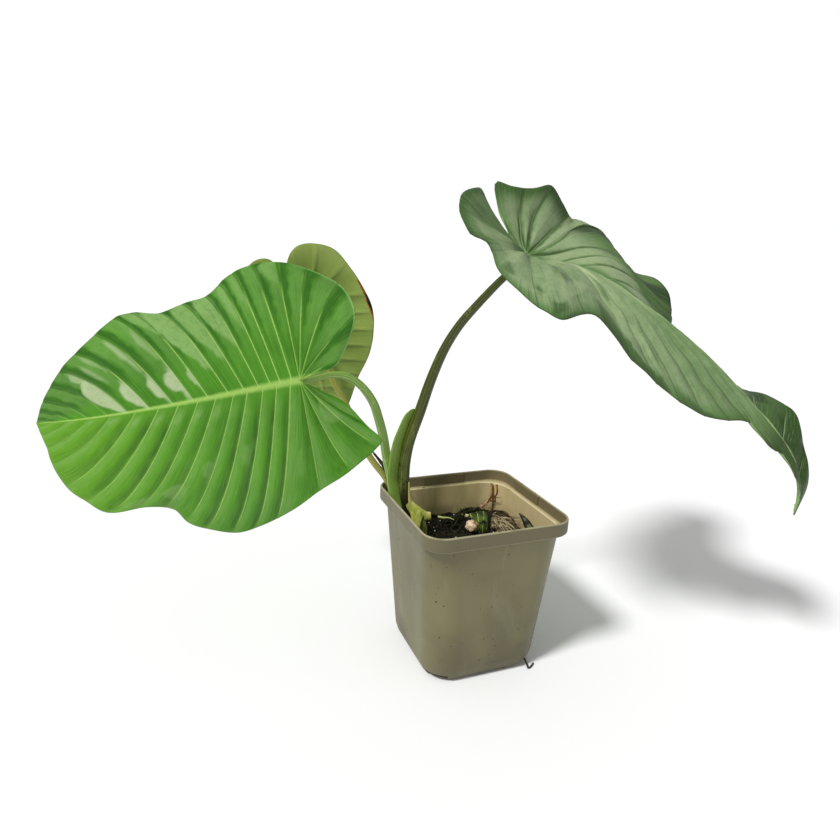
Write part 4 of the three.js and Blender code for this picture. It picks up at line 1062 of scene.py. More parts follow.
def pot_finish():
    """Moulded recycled plastic: taupe with soft clouds, faint upright streaks, dark flecks and smudges,
    darker towards the bottom in patches, painted shade on the left face, painted highlight and wear along the
    rim's top edge, and a pale line at the collar's lower edge; inside it is tan with soil dust, with painted
    light on the right wall, darker at the collar, with a pale line of dust and painted highlight on the ledge
    below the collar."""
    finish, tree, shader = new_finish("taupe_pot_plastic")
    where = place_of(tree)
    place = node(tree, "ShaderNodeSeparateXYZ", {0: where}).outputs

    def rising(low, high, most=1.0, axis=2):
        """Goes from 0 to the most as the place goes from low to high along an axis, in millimetres."""
        return between(tree, place[axis], low * MM, high * MM, 0, most)

    def both(first, second):
        """Product of two shares."""
        return calc(tree, "MULTIPLY", first, second)

    clouds = noise(tree, where, 22, 4, 0.5, 0.4)
    colour = blend(tree, between(tree, clouds, 0.35, 0.7), paint("726d49"), paint("645f3e"))
    film = noise(tree, stretched(tree, where, (1, 1, 0.25)), 70, 5, 0.6, 0.8)
    colour = blend(tree, between(tree, film, 0.5, 0.75, 0, 0.4), colour, paint("86836b"))
    # Painted shade: the left face darker
    colour = blend(tree, rising(-30, -POT_HALF_AT_RIM, 0.5, axis=0), colour, paint("5c5a42"))
    low = both(rising(55, 0, 0.7), between(tree, clouds, 0.3, 0.6))
    colour = blend(tree, low, colour, paint("544f38"))
    colour = blend(tree, rising(COLLAR_FOOT - 0.6, COLLAR_FOOT + 0.4, 0.8), colour, paint("5e583d"))
    lip = both(rising(COLLAR_FOOT - 0.3, COLLAR_FOOT + 0.1), rising(COLLAR_FOOT + 0.9, COLLAR_FOOT + 0.3))
    colour = blend(tree, both(lip, 0.6), colour, paint("989274"))
    # Painted highlight and wear along the rim's top edge
    edge = both(rising(POT_HEIGHT - 0.8, POT_HEIGHT - 0.4, 0.75),
                between(tree, noise(tree, where, 90, 2), 0.25, 0.5, 0.5, 1))
    tan = blend(tree, between(tree, film, 0.35, 0.7), paint("a0946a"), paint("b6a779"))
    # Painted light: the inner right wall paler
    tan = blend(tree, rising(20, 36, 0.55, axis=0), tan, paint("bba67e"))
    tan = blend(tree, rising(COLLAR_FOOT + 1.4, COLLAR_FOOT + 2.4, 0.9), tan, paint("63593f"))
    wet = both(rising(SOIL_LEVEL + 9.5, SOIL_LEVEL + 1.5, 0.45), between(tree, film, 0.4, 0.6))
    tan = blend(tree, wet, tan, paint("564b31"))
    # Pale line on the ledge below the collar: dust and painted highlight
    ledge = both(rising(COLLAR_FOOT + 0.7, COLLAR_FOOT + 1), rising(COLLAR_FOOT + 1.6, COLLAR_FOOT + 1.3))
    ledge = both(ledge, between(tree, noise(tree, where, 160, 3), 0.3, 0.5, 0.55, 0.95))
    tan = blend(tree, ledge, tan, paint("c9bd97"))
    colour = blend(tree, mark(tree, "inside"), colour, tan)
    colour = blend(tree, edge, colour, paint("a8a184"))
    flecks = noise(tree, where, 420, 1, 0.4)
    colour = blend(tree, between(tree, flecks, 0.755, 0.785), colour, paint("2c2417"))
    stroke = noise(tree, stretched(tree, where, (1, 1, 2.2)), 210, 3, 0.7, 1.8)
    scuffs = both(between(tree, stroke, 0.62, 0.68), between(tree, noise(tree, where, 24, 2), 0.58, 0.64))
    colour = blend(tree, both(scuffs, 0.75), colour, paint("3f331d"))
    relief = bumps(tree, noise(tree, where, 1100, 3), 0.04, 0.5)
    relief = bumps(tree, noise(tree, where, 45, 2), 0.5, 0.12, relief)
    dress(tree, shader, colour, between(tree, film, 0.3, 0.8, 0.4, 0.58), relief)
    return finish


def inside_pot(points):
    """1 on the pot's inner faces, 0 on the outer: how far in a point lies from the outer rounded square."""
    x, y, z = points.T
    above = z > COLLAR_FOOT
    corner = np.where(above, RIM_CORNER, WALL_CORNER)
    half = np.where(above, POT_HALF_AT_RIM, wall_half(z)) - corner
    beside = np.maximum(np.abs(np.stack([x, y])) - half, 0)
    nearer = np.minimum(np.max(np.abs(np.stack([x, y])) - half, axis=0), 0)
    depth = corner - np.hypot(*beside) - nearer
    return ((depth > 0.6 * WALL) & (z > FOOT_HEIGHT + 1)).astype(np.float32)


def add_pot():
    """The pot with its drainage notches and grooves cut and its blank panels joined on."""
    points, faces = pot_shell()
    mesh = bpy.data.meshes.new("pot_shell")
    mesh.from_pydata((points * MM).tolist(), [], faces)
    piece = bpy.data.objects.new("square_pot", mesh)
    bpy.context.scene.collection.objects.link(piece)
    notch = (NOTCH_DEPTH, NOTCH_WIDTH, 2 * NOTCH_HEIGHT), (NOTCH_REACH + NOTCH_DEPTH / 2, 0, 0)
    groove = (GROOVE_WIDTH, GROOVE_WIDTH, 2 * GROOVE_HEIGHT), (POT_HALF_AT_BASE + GROOVE_WIDTH / 4, 0, 0)
    cuts = []
    for corner in range(4):
        turn = corner * math.pi / 2
        cuts += [(*notch, turn + math.pi / 4), (*groove, turn)]
    carve(piece, cuts)
    panel = (2 * PANEL_THICKNESS, PANEL_LENGTH, PANEL_HEIGHT)
    panel_x, panel_z = POT_HALF_AT_RIM - WALL - 0.2, POT_HEIGHT - 1 - PANEL_HEIGHT / 2
    panels = [(panel, (panel_x, RIGHT_PANEL_SHIFT, panel_z), 0),
              (panel, (panel_x, BACK_PANEL_SHIFT, panel_z), math.pi / 2)]
    carve(piece, panels, "UNION")
    places = np.zeros(3 * len(piece.data.vertices), np.float32)
    piece.data.vertices.foreach_get("co", places)
    inner = piece.data.attributes.new("inside", "FLOAT", "POINT")
    inner.data.foreach_set("value", inside_pot(places.reshape(-1, 3) / MM))
    piece.data.materials.clear()
    piece.data.materials.append(pot_finish())
    piece.data.shade_smooth()
    piece.data.set_sharp_from_angle(angle=math.radians(38))
    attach(piece, "root")
    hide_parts("pot")


# Soil
def soil_height(x, y):
    """Height of the soil: a level plus the same ripples as the solid's, and crumbly lumps."""
    coarse = np.sin(x * 0.31 + 1.7 * np.sin(y * 0.23)) * np.cos(y * 0.37 - 1.3 * np.sin(x * 0.19))
    fine = np.sin(x * 0.83 + y * 0.61 + 2) * np.cos(y * 0.97 - x * 0.41)
    flat = np.stack([x, y, 0 * x], -1)
    crumbs = 0.35 * waves(flat, 4.2, 7) + 0.25 * np.abs(waves(flat, 2.1, 8)) + 0.15 * waves(flat, 1.1, 9)
    return SOIL_LEVEL + SOIL_RELIEF * (0.6 * coarse + 0.4 * fine) + crumbs


def soil_body():
    """Body of soil: its foot and side follow the pot's inner wall, and its top is rings of the same square
    shrunk towards the middle, raised to the soil's height. A small hole stays at the middle of its foot and
    of its top, for close_holes()."""
    fit = WALL + 0.3
    lower = [[FLOOR + 0.3, POT_HALF_AT_BASE - 1, WALL_CORNER - 5.5],
             [FOOT_HEIGHT + 0.3, POT_HALF_AT_FOOT - fit - 0.2, WALL_CORNER - 1.8],
             [SOIL_LEVEL - 2, wall_half(SOIL_LEVEL - 2) - fit - 0.1, WALL_CORNER - 1.8]]
    edge = wall_half(SOIL_LEVEL) - fit - 0.3
    shares = np.linspace(1, 0.012, 110)
    top = [[0, edge * k, (WALL_CORNER - 2) * k] for k in shares]
    rings = np.array([[lower[0][0], 0.4, 0.3], *lower, *top])
    flat = rounded_square(rings[:, 1], rings[:, 2], 20, 32)
    height = np.broadcast_to(rings[:, 0][:, None], flat.shape[:2]).copy()
    height[4:] = soil_height(flat[4:, :, 0], flat[4:, :, 1])
    points = np.concatenate([flat, height[..., None]], -1)
    return points.reshape(-1, 3), grid_faces(*flat.shape[:2], wrap_columns=True)[:, ::-1]


def soil_finish(name, dark, light, rough=0.9):
    """Dark grains between two colours, mossy in places."""
    finish, tree, shader = new_finish(name)
    where = place_of(tree)
    grain = noise(tree, where, 600, 4, 0.65)
    colour = blend(tree, between(tree, grain, 0.35, 0.7), paint(dark), paint(light))
    moss = between(tree, noise(tree, where, 130, 3), 0.5, 0.65, 0, 0.5)
    colour = blend(tree, moss, colour, paint("2c3318"))
    dress(tree, shader, colour, rough, bumps(tree, grain, 0.4, 0.8))
    return finish


def lumps(centres, sizes, stretch, seed, subdivisions=1):
    """Rough lumps: a ball of few faces for each centre, stretched, turned and dented at random."""
    draw = np.random.default_rng(seed)
    ball = bmesh.new()
    bmesh.ops.create_icosphere(ball, subdivisions=subdivisions, radius=1.0)
    corners = np.array([vertex.co for vertex in ball.verts])
    triangles = np.array([[vertex.index for vertex in face.verts] for face in ball.faces])
    ball.free()
    count = len(centres)
    axes = np.linalg.qr(draw.normal(size=(count, 3, 3)))[0]
    axes *= np.linalg.det(axes)[:, None, None]
    scale = np.asarray(sizes)[:, None] * draw.uniform(*stretch, size=(count, 3))
    dents = draw.uniform(0.75, 1.15, size=(count, len(corners), 1))
    shaped = (corners[None] * dents * scale[:, None]) @ axes
    points = shaped + np.asarray(centres)[:, None]
    faces = triangles[None] + (np.arange(count) * len(corners))[:, None, None]
    return points.reshape(-1, 3), faces.reshape(-1, 3)


def scatter_in_pot(count, seed, margin=2.0):
    """Random places on the soil that lie at least the margin from the pot's wall."""
    draw = np.random.default_rng(seed)
    reach = wall_half(SOIL_LEVEL) - WALL - margin
    spots = draw.uniform(-reach, reach, size=(count, 2))
    corner = np.maximum(np.abs(spots) - (reach - WALL_CORNER), 0)
    spots = spots[np.hypot(*corner.T) < WALL_CORNER]
    return np.column_stack([spots, soil_height(spots[:, 0], spots[:, 1])])


def close_holes(piece):
    """Closes the open rings of a mesh with one flat face each."""
    made = bmesh.new()
    made.from_mesh(piece.data)
    open_edges = [edge for edge in made.edges if len(edge.link_faces) == 1]
    bmesh.ops.holes_fill(made, edges=open_edges)
    made.to_mesh(piece.data)
    made.free()


def add_soil():
    """The soil, crumbs of bark over it and white grains of perlite."""
    points, faces = soil_body()
    finish = soil_finish("dark_potting_mix", "0b0a08", "1e1a13")
    piece = add_piece("potting_mix", points, faces, finish, ["soil"], weld=SEAM)
    close_holes(piece)
    spots = scatter_in_pot(CRUMB_COUNT, 4)
    draw = np.random.default_rng(3)
    points, faces = lumps(spots, draw.uniform(0.5, 1.7, len(spots)), (0.5, 1.5), 5)
    finish = soil_finish("bark_crumb_skin", "100d09", "30261a", 0.8)
    add_piece("bark_crumbs", points, faces, finish)
    spots = scatter_in_pot(PERLITE_COUNT, 6, 3.0)
    points, faces = lumps(spots + [0, 0, 0.9], draw.uniform(0.25, 0.6, len(spots)), (0.7, 1.2), 7)
    finish, tree, shader = new_finish("perlite_grains")
    grain = noise(tree, place_of(tree), 1500, 2)
    dress(tree, shader, blend(tree, grain, paint("e8e6df"), paint("b9b7ac")), 0.8)
    add_piece("perlite", points, faces, finish)


# Rhizome and roots
RHIZOME_LINE = [
    [-29.5, 22.5, 78.3], [-29.5, 22.5, 76.3], [-29, 22.5, 71], [-24, 22.5, 63.5], [-14, 22, 60.5],
    [-3, 20, 61.5], [6, 18, 67], [14, 15.5, 72], [22, 12, 73], [29, 9, 71.5], [33, 7, 69],
]
RHIZOME_RADIUS = 8.4
SCAR_COUNT = 15
SCAR_HEIGHT = 0.5
STUB_LINE = [[13, 15, 72], [8, 10.5, 75], [4.8, 6.5, 77.3]]
STUB_RADIUS = 3.8
FIBRES = 110
MOSSES = 120


def rhizome_body():
    """The rhizome: a thick rod with a ring for each old leaf scar, slanted round it, and knobs."""

    def radius_at(s, t):
        """Radius at share s and angle t, with a round far end."""
        body = RHIZOME_RADIUS - s + 0.6 * np.sin(19 * s)
        slanted = s + 0.012 * np.cos(t - 0.6)
        scar = SCAR_HEIGHT * np.abs(np.sin(slanted * SCAR_COUNT * math.pi))
        knobs = 0.25 * np.sin(5 * t + 40 * s) * np.sin(33 * s)
        end = np.where(s > 0.92, np.sqrt(np.clip(1 - ((s - 0.92) / 0.08) ** 2, 0.02, 1)), 1)
        return (body + scar + knobs) * end

    points, faces, share, turn = rod(RHIZOME_LINE, radius_at, rings=420, sides=90)
    return points, faces, {"share": share, "turn": turn}


def rhizome_finish():
    """Rhizome skin: black with soil where it is buried, then dark green with thin slanting pale lines at its
    leaf scars, a dark gap, and tan and fibrous towards its old end."""
    finish, tree, shader = new_finish("rhizome_bark")
    where = place_of(tree)
    share, turn = mark(tree, "share"), mark(tree, "turn")
    slant = calc(tree, "MULTIPLY", calc(tree, "COSINE", calc(tree, "SUBTRACT", turn, 0.2)), 0.022)
    ring = calc(tree, "MULTIPLY", calc(tree, "ADD", share, slant), 2.0 * SCAR_COUNT)
    ring = calc(tree, "ADD", ring, calc(tree, "MULTIPLY", noise(tree, where, 200, 2), 0.3))
    beside = calc(tree, "ABSOLUTE", calc(tree, "SUBTRACT", ring, calc(tree, "ROUND", ring)))
    mottle = noise(tree, where, 160, 4)
    skin = blend(tree, between(tree, mottle, 0.35, 0.65), paint("293611"), paint("4c5c26"))
    skin = blend(tree, between(tree, beside, 0.03, 0.11, 0.8, 0), skin, paint("98a54a"))
    fibres = noise(tree, stretched(tree, where, (1, 1, 0.25)), 620, 4, 0.7)
    tan = blend(tree, between(tree, fibres, 0.35, 0.65), paint("4f4027"), paint("b5a47a"))
    skin = blend(tree, between(tree, share, 0.80, 0.81), skin, paint("0f0c08"))
    skin = blend(tree, between(tree, share, 0.825, 0.845), skin, tan)
    dirt = between(tree, noise(tree, where, 240, 4, 0.7), 0.52, 0.6)
    buried = between(tree, share, 0.715, 0.69)
    skin = blend(tree, calc(tree, "MAXIMUM", dirt, buried), skin, paint("100e09"))
    dress(tree, shader, skin, 0.55, bumps(tree, noise(tree, where, 420, 4, 0.7), 0.5, 0.6))
    return finish


def tinted_finish(name, first, second, rough=0.7):
    """Each thread's own tint between two colours, with a fine grain."""
    finish, tree, shader = new_finish(name)
    grain = noise(tree, place_of(tree), 900, 3)
    share = calc(tree, "MULTIPLY_ADD", grain, 0.5, calc(tree, "MULTIPLY_ADD", mark(tree, "tint"), 1.0, -0.25))
    dress(tree, shader, blend(tree, between(tree, share, 0.0, 1.0), paint(first), paint(second)), rough)
    return finish


def root_finish():
    """Corner root: black and mossy at its lower end, pinkish brown above."""
    finish, tree, shader = new_finish("corner_root_skin")
    where = place_of(tree)
    grain = noise(tree, where, 260, 4, 0.65)
    moss = blend(tree, between(tree, grain, 0.4, 0.65), paint("11110a"), paint("2f3c18"))
    bark = blend(tree, between(tree, grain, 0.35, 0.6), paint("5f4630"), paint("a98a6a"))
    colour = blend(tree, between(tree, mark(tree, "share"), 0.4, 0.52), moss, bark)
    dress(tree, shader, colour, 0.75, bumps(tree, noise(tree, where, 700, 3), 0.2, 0.7))
    return finish


def scale_finish():
    """Stem scale: black edges round a grey-green face."""
    finish, tree, shader = new_finish("stem_scale_skin")
    where = place_of(tree)
    face = calc(tree, "ABSOLUTE", calc(tree, "COSINE", mark(tree, "turn")))
    grain = noise(tree, where, 300, 3)
    green = blend(tree, between(tree, grain, 0.4, 0.6), paint("23241a"), paint("5d6048"))
    dress(tree, shader, blend(tree, between(tree, face, 0.35, 0.6), green, paint("0d0c0a")), 0.45)
    return finish


def stain_finish():
    """Dried root skin stuck in the corner: orange brown, paler in the middle, dark at its edges."""
    finish, tree, shader = new_finish("dried_skin")
    across = mark(tree, "across")
    grain = noise(tree, stretched(tree, place_of(tree), (1, 1, 0.3)), 420, 3)
    middle = blend(tree, between(tree, grain, 0.4, 0.6), paint("b08a4e"), paint("cfb688"))
    side = calc(tree, "ADD", calc(tree, "ABSOLUTE", across), calc(tree, "MULTIPLY_ADD", grain, 0.5, -0.25))
    colour = blend(tree, between(tree, side, 0.5, 0.75), middle, paint("85592a"))
    colour = blend(tree, between(tree, side, 0.75, 0.95), colour, paint("4a2f14"))
    dress(tree, shader, colour, 0.6)
    return finish


def sheath_finish():
    """Old sheath: yellow-green fibres, dark green at its foot, pale yellow at its cut end and up the stem."""
    finish, tree, shader = new_finish("old_sheath_skin")
    where = place_of(tree)
    place = node(tree, "ShaderNodeSeparateXYZ", {0: where}).outputs
    fibres = noise(tree, stretched(tree, where, (1, 1, 0.2)), 300, 4, 0.6)
    colour = blend(tree, between(tree, fibres, 0.35, 0.65), paint("87913d"), paint("a2a24e"))
    deep = between(tree, place[2], (SOIL_LEVEL + 10.5) * MM, (SOIL_LEVEL + 2.5) * MM, 0, 0.85)
    colour = blend(tree, deep, colour, paint("39421a"))
    cut_end = between(tree, place[0], -24.5 * MM, -20.5 * MM)
    pale = calc(tree, "MAXIMUM", cut_end, between(tree, place[2], 88.5 * MM, 93 * MM))
    colour = blend(tree, calc(tree, "MULTIPLY", pale, 0.75), colour, paint("c8c078"))
    dress(tree, shader, colour, 0.48, bumps(tree, fibres, 0.3, 0.4))
    return finish


def stub_finish():
    """Cut stub: pink and cream flesh with orange brown blotches and dark pits."""
    finish, tree, shader = new_finish("cut_stub_skin")
    where = place_of(tree)
    grain = noise(tree, where, 330, 4, 0.7)
    colour = blend(tree, between(tree, grain, 0.35, 0.6), paint("a8713c"), paint("dcc3a2"))
    colour = blend(tree, between(tree, noise(tree, where, 480, 3), 0.58, 0.68), colour, paint("ecdcc9"))
    pits = between(tree, noise(tree, where, 400, 3, 0.7), 0.38, 0.3)
    colour = blend(tree, pits, colour, paint("3a2412"))
    dress(tree, shader, colour, 0.6, bumps(tree, grain, 0.6, 0.9))
    return finish


def plain_finish(name, first, second, scale, rough=0.6):
    """Two colours in clouds with a matching fine relief."""
    finish, tree, shader = new_finish(name)
    where = place_of(tree)
    grain = noise(tree, where, scale, 4, 0.6)
    colour = blend(tree, between(tree, grain, 0.35, 0.65), paint(first), paint(second))
    dress(tree, shader, colour, rough, bumps(tree, noise(tree, where, scale * 3, 3), 0.15, 0.7))
    return finish


OLD_SHEATH_LINE = [
    [-28, 10, 67], [-27.9, 10.3, 76], [-27.4, 12.6, 83], [-26.2, 14.4, 85.5], [-25, 15.2, 86.2],
]
SHEATH_FOOT_LINE = [
    [-31.4, 21.4, 104], [-31, 21, 96], [-29.9, 19.8, 88.4], [-27.7, 16.8, 83.4], [-26.5, 14.3, 79],
    [-25.6, 12.5, 72.5],
]
SHEATH_LAP_LINE = [
    [-30.9, 21.9, 90.2], [-28.4, 18.7, 86.9], [-25.7, 15.4, 85.1], [-22.6, 13.3, 84.3], [-19.8, 12.2, 84.7],
]
DRIED_SHEATH_LINE = [
    [-38.2, 29.8, 98.6], [-39, 32, 102.5], [-41.2, 35.4, 107], [-43.6, 38.2, 111.7], [-47.2, 44.3, 116.9],
]
CORNER_ROOT_LINE = [
    [8, 29.5, 69], [15, 28.6, 73.2], [23.3, 31.2, 76.7], [30, 33.2, 79.5], [32.8, 34.6, 84], [33.4, 36.2, 91],
]
STEM_SCALE_LINE = [
    [33.6, -16.5, 67], [33.6, -16, 79], [33.2, -12.5, 83], [32.6, -8, 85.5], [32.3, -3.5, 86.6],
]
SURFACE_ROOT_LINE = [
    [19, 11, 82.9], [24.5, 11.2, 82.9], [28.6, 8.6, 81.8], [32.6, 3.2, 79], [32.5, -4, 74], [31, -8, 67],
]
DRAIN_ROOT_LINE = [
    [27.2, -27.2, 3.6], [28.6, -30.4, 2.6], [28.4, -34.5, 1], [27.8, -37, 0.62], [29.8, -36.4, 0.62],
    [33, -34, 0.62],
]


def root_rod(line, radii, lumpy=0.06, **options):
    """A root: its radius goes through evenly spaced values from its foot, with two trains of small lumps."""

    def radius_at(s, t):
        """Radius at share s and angle t."""
        lumps_on = 1 + lumpy * np.sin(4 * t + 30 * s) + lumpy * np.sin(50 * s + 2 * t)
        return smooth(np.linspace(0, 1, len(radii)), radii, s) * lumps_on

    points, faces, share, turn = rod(line, radius_at, 110, 24, **options)
    return points, faces, {"share": share, "turn": turn}


def corner_skin():
    """Strip of dried skin on the pot's inner back corner: an arc of the corner's circle, 0.4 mm off the wall,
    18 to 26 degrees wide, from the collar's ledge down to the root."""
    rows, columns = 40, 24
    z = np.linspace(90, 78.5, rows)[:, None]
    side = np.linspace(-1, 1, columns)[None, :]
    half_width = np.radians(6.5 + 1.4 * np.sin(z * 0.9) + 2.2 * step_up(84, 90, z))
    turn = math.pi / 4 + np.radians(1.5) * np.sin(z * 0.5) + side * half_width
    corner = WALL_CORNER - WALL - 0.4
    middle = wall_half(z) - WALL_CORNER
    lift = 0.25 * (1 - side ** 2) * (1 + 0.6 * np.sin(z * 1.7 + 3 * side))
    sheets = []
    for off in (0, 0.3):
        radius = corner - lift - off
        x, y = middle + radius * np.cos(turn), middle + radius * np.sin(turn)
        sheets.append(np.stack([x, y, z + 0 * side], -1))
    points = np.concatenate([sheets[0], sheets[1][:, ::-1]], axis=1)
    k = np.arange(columns - 1)
    first_end = np.stack([k, k + 1, 2 * columns - 2 - k, 2 * columns - 1 - k], axis=1)
    last_end = first_end[:, ::-1] + (rows - 1) * 2 * columns
    faces = np.concatenate([grid_faces(rows, 2 * columns, wrap_columns=True), first_end, last_end])
    across = np.concatenate([side, side[:, ::-1]], axis=1) * np.ones((rows, 1))
    return points.reshape(-1, 3), faces, {"across": across.ravel()}


def near(centre, spread, count, seed):
    """Random points about a centre; the spread is their standard deviation along each axis."""
    return np.array(centre) + np.random.default_rng(seed).normal(size=(count, 3)) * np.array(spread)


def about(middle, spread, count, seed):
    """Random values about a middle one, with the spread as their standard deviation."""
    return near([middle, 0, 0], [spread, 0, 0], count, seed)[:, 0]


def add_threads(name, slot, finish, *route, **options):
    """A piece of thin roots, with a tint for each."""
    points, faces, marks = threads(*route, **options)
    add_piece(name, points, faces, finish, marks=marks)


def add_tangle():
    """Fine roots: cream and brown fibres about the rhizome's old end, dark mossy threads beside the corner
    root, arching dark roots, a pale green root, a dark shoot in the old sheath and cream bits of root."""
    starts, ends = near([24, 11, 76], [3.5, 3.5, 2], FIBRES, 31), near([30, 4, 73.5], [5, 4, 2.5], FIBRES, 32)
    add_threads("cream_fibres", "dried_brown", tinted_finish("fibre_skin", "5a4730", "d3c49c"),
                starts, ends, 2.5, about(0.28, 0.07, FIBRES, 33), 34, 1.6)
    starts, ends = near([6, 20, 73.5], [5, 3, 1.2], MOSSES, 35), near([19, 27, 75.5], [5.5, 3, 2], MOSSES, 36)
    add_threads("mossy_threads", "rhizome_skin", tinted_finish("moss_thread_skin", "0b0b07", "262d13"),
                starts, ends, 2.0, about(0.42, 0.12, MOSSES, 37), 38, 2.2)
    starts = [[20, 13, 79.5], [23, 12, 80], [27, 9, 78], [18, 15, 78], [30, 33, 80], [29, 32, 79.5]]
    ends = [[34, 5, 75], [35, 3, 74], [33, -2, 74], [30, 14, 75], [38, 30, 83], [35, 25, 80]]
    rise, radii = [6, 4.5, 3, 5, 1, 0.5], [0.5, 0.45, 0.4, 0.4, 0.4, 0.3]
    add_threads("arching_roots", "dried_brown", tinted_finish("arching_root_skin", "1f170e", "4f3c26"),
                starts, ends, rise, radii, 39, 1.2, rings=30, sides=8)
    add_threads("pale_green_root", "rhizome_skin", tinted_finish("green_root_skin", "8d9c52", "b9c27c", 0.5),
                [[-8.5, 26, 76.5]], [[-0.2, 19, 76]], [1.2], [0.8], 40, 0.8, rings=30, sides=10)
    add_threads("dark_shoot", "dried_black", tinted_finish("shoot_skin", "12160a", "2c3514", 0.5),
                [[-27.8, 8.4, 77.3]], [[-25.3, 10, 85.7]], [0.4], [1.1], 41, 0.5, rings=30, sides=12)
    spots, sizes = near([7.5, 20, 77.5], [1.3, 1, 0.8], 5, 42), [1.6, 1.3, 1.1, 1.0, 0.9]
    points, faces = lumps(spots, sizes, (0.7, 1.2), 43, 3)
    finish = plain_finish("cream_bit_skin", "e3d7b4", "b39f72", 500)
    add_piece("cream_root_bits", points, faces, finish)


def add_root(stands_for, slot, finish, *route, **options):
    """A root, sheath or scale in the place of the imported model's piece of that name."""
    points, faces, marks = root_rod(*route, **options)
    add_piece(stands_for + "_skin", points, faces, finish, [stands_for], marks, SEAM)


def add_old_sheath():
    """The cut petiole base: a hook out of the soil, a foot that runs up the stem as a thin edge, and a lap
    to the cut end."""
    hook = root_rod(OLD_SHEATH_LINE, [4, 3.8, 2.4], 0.02, flatness=0.55)
    foot = root_rod(SHEATH_FOOT_LINE, [0.4, 0.6, 1.0, 1.8, 3.6, 4.4, 4.2], 0.02, flatness=0.5)
    lap = root_rod(SHEATH_LAP_LINE, [2.6, 3.8, 2.4], 0.02, flatness=0.45, up=(0.37, 0.89, 0))
    points, faces, marks = together(hook, foot, lap)
    add_piece("old_sheath_skin", points, faces, sheath_finish(), ["old_sheath"], marks, SEAM)


def add_roots():
    """The rhizome with its cut stub, the old sheath, and the roots and scales about them."""
    points, faces, marks = rhizome_body()
    add_piece("rhizome_trunk", points, faces, rhizome_finish(), ["rhizome"], marks, SEAM)

    def stub_radius(s, t):
        """Radius of the stub at share s and angle t: a taper with two trains of small lumps."""
        return STUB_RADIUS - 0.5 * s + 0.25 * np.sin(5 * t + 8 * s) + 0.15 * np.sin(9 * t - 20 * s)

    points, faces, *_ = rod(STUB_LINE, stub_radius, 60, 60)
    add_piece("cut_stub", points, faces, stub_finish())
    add_old_sheath()
    skin = plain_finish("dried_sheath_skin", "17130d", "3a2f1a", 200)
    add_root("dried_sheath", "dried_black", skin, DRIED_SHEATH_LINE, [0.6, 1.1, 0.6])
    add_root("corner_root", "dried_brown", root_finish(), CORNER_ROOT_LINE, [1.9, 1.1, 0.7], 0.12)
    points, faces, marks = corner_skin()
    add_piece("dried_corner_skin", points, faces, stain_finish(), marks=marks)
    add_root("stem_scale", "dried_black", scale_finish(), STEM_SCALE_LINE, [3.6, 3.2, 0.5], 0.02,
             flatness=0.25)
    skin = plain_finish("surface_root_skin", "4a3a24", "2c2114", 200)
    add_root("surface_root", "dried_brown", skin, SURFACE_ROOT_LINE, [0.6, 0.55, 0.6])
    skin = plain_finish("drain_root_skin", "2e2a20", "4a4433", 200)
    add_root("drain_root", "dried_black", skin, DRAIN_ROOT_LINE, [0.55, 0.55, 0.55])
    add_tangle()


# Camera, floor and light
CAMERA_PLACE = (-173.9, -334.6, 254.1)
CAMERA_AZIMUTH = -22.54
CAMERA_ELEVATION = 16.11
CAMERA_ROLL = 2.75
CAMERA_LENS = 29.11
SENSOR_WIDTH = 36.0
FLOOR_REACH = 12.0
KEY_TRAVEL = (0.753, 0.283, -1.0)
KEY_ENERGY = 2.95
KEY_WIDTH = 11
SURROUND_SEEN = 1.0
SURROUND_LIGHT = 0.49
SURROUND_LESS_IN_GLOSS = 0.2


def add_camera():
    """The camera looks along its azimuth and elevation, and is rolled a little about its line of sight."""
    data = bpy.data.cameras.new("camera")
    data.lens = CAMERA_LENS
    data.sensor_width = SENSOR_WIDTH
    data.clip_start = 0.01
    camera = bpy.data.objects.new("camera", data)
    azimuth, elevation = math.radians(CAMERA_AZIMUTH), math.radians(CAMERA_ELEVATION)
    back = Vector((math.sin(azimuth) * math.cos(elevation), -math.cos(azimuth) * math.cos(elevation),
                   math.sin(elevation)))
    right = (-back).cross(Vector((0, 0, 1))).normalized()
    up = right.cross(-back)
    roll = math.radians(CAMERA_ROLL)
    right, up = right * math.cos(roll) + up * math.sin(roll), up * math.cos(roll) - right * math.sin(roll)
    turned = Matrix((right, up, back)).transposed().to_4x4()
    camera.matrix_world = Matrix.Translation(Vector(CAMERA_PLACE) * MM) @ turned
    bpy.context.scene.collection.objects.link(camera)
    bpy.context.scene.camera = camera


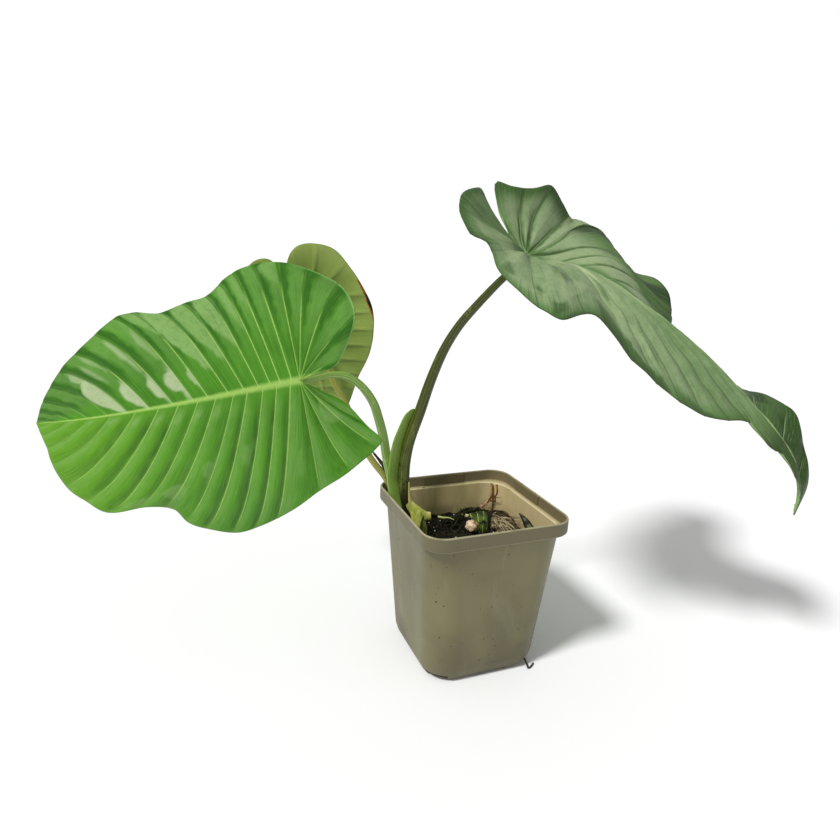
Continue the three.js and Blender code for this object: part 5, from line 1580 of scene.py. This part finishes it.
def add_floor():
    """A pale matt floor, far wider than the view. Its size is in metres."""
    reach = FLOOR_REACH
    mesh = bpy.data.meshes.new("floor")
    around = [(-reach, -reach, 0), (reach, -reach, 0), (reach, reach, 0), (-reach, reach, 0)]
    mesh.from_pydata(around, [], [(0, 1, 2, 3)])
    finish, _, shader = new_finish("pale_floor")
    shader.inputs["Base Color"].default_value = (0.86, 0.86, 0.86, 1)
    shader.inputs["Roughness"].default_value = 0.9
    shader.inputs["Specular IOR Level"].default_value = 0.0
    mesh.materials.append(finish)
    floor = bpy.data.objects.new("floor", mesh)
    bpy.context.scene.collection.objects.link(floor)


def add_light():
    """A soft key light from the left, and an even pale surround that gives less light than it shows."""
    sun = bpy.data.lights.new("key", "SUN")
    sun.energy = KEY_ENERGY
    sun.angle = math.radians(KEY_WIDTH)
    key = bpy.data.objects.new("key", sun)
    key.matrix_world = Vector(KEY_TRAVEL).to_track_quat("-Z", "Y").to_matrix().to_4x4()
    key.visible_glossy = False
    bpy.context.scene.collection.objects.link(key)
    world = bpy.data.worlds.new("pale_surround")
    bpy.context.scene.world = world
    world.use_nodes = True
    tree = world.node_tree
    path = node(tree, "ShaderNodeLightPath").outputs
    background = tree.nodes["Background"]
    background.inputs["Color"].default_value = (1, 1, 1, 1)
    seen = SURROUND_SEEN - SURROUND_LIGHT
    strength = calc(tree, "MULTIPLY_ADD", path["Is Camera Ray"], seen, SURROUND_LIGHT)
    strength = calc(tree, "MULTIPLY_ADD", path["Is Glossy Ray"], -SURROUND_LESS_IN_GLOSS, strength)
    tree.links.new(strength, background.inputs["Strength"])
    bpy.context.scene.view_settings.view_transform = "Standard"
    return key


def shade_key(key, unshaded):
    """Only the pieces that aren't named stop the key's light, as in a studio with a lamp on each side."""
    stops = bpy.data.collections.new("stops_the_key")
    for piece in bpy.context.scene.objects:
        if piece.type == "MESH" and not piece.name.startswith(unshaded):
            stops.objects.link(piece)
    key.light_linking.blocker_collection = stops


add_camera()
key_light = add_light()
add_floor()
add_leaf("leaf_front", LEAF_FRONT, FRONT_LOOK, front_tones)
add_leaf("leaf_right", LEAF_RIGHT, RIGHT_LOOK, right_tones)
add_leaf("leaf_back", LEAF_BACK, BACK_LOOK, back_tones)
add_petioles()
add_pot()
add_soil()
add_roots()
shade_key(key_light, ("leaf_front", "front_petiole", "floor"))


def corners(box):
    """The box's two corners as plain numbers."""
    return [[float(value) for value in corner] for corner in box]
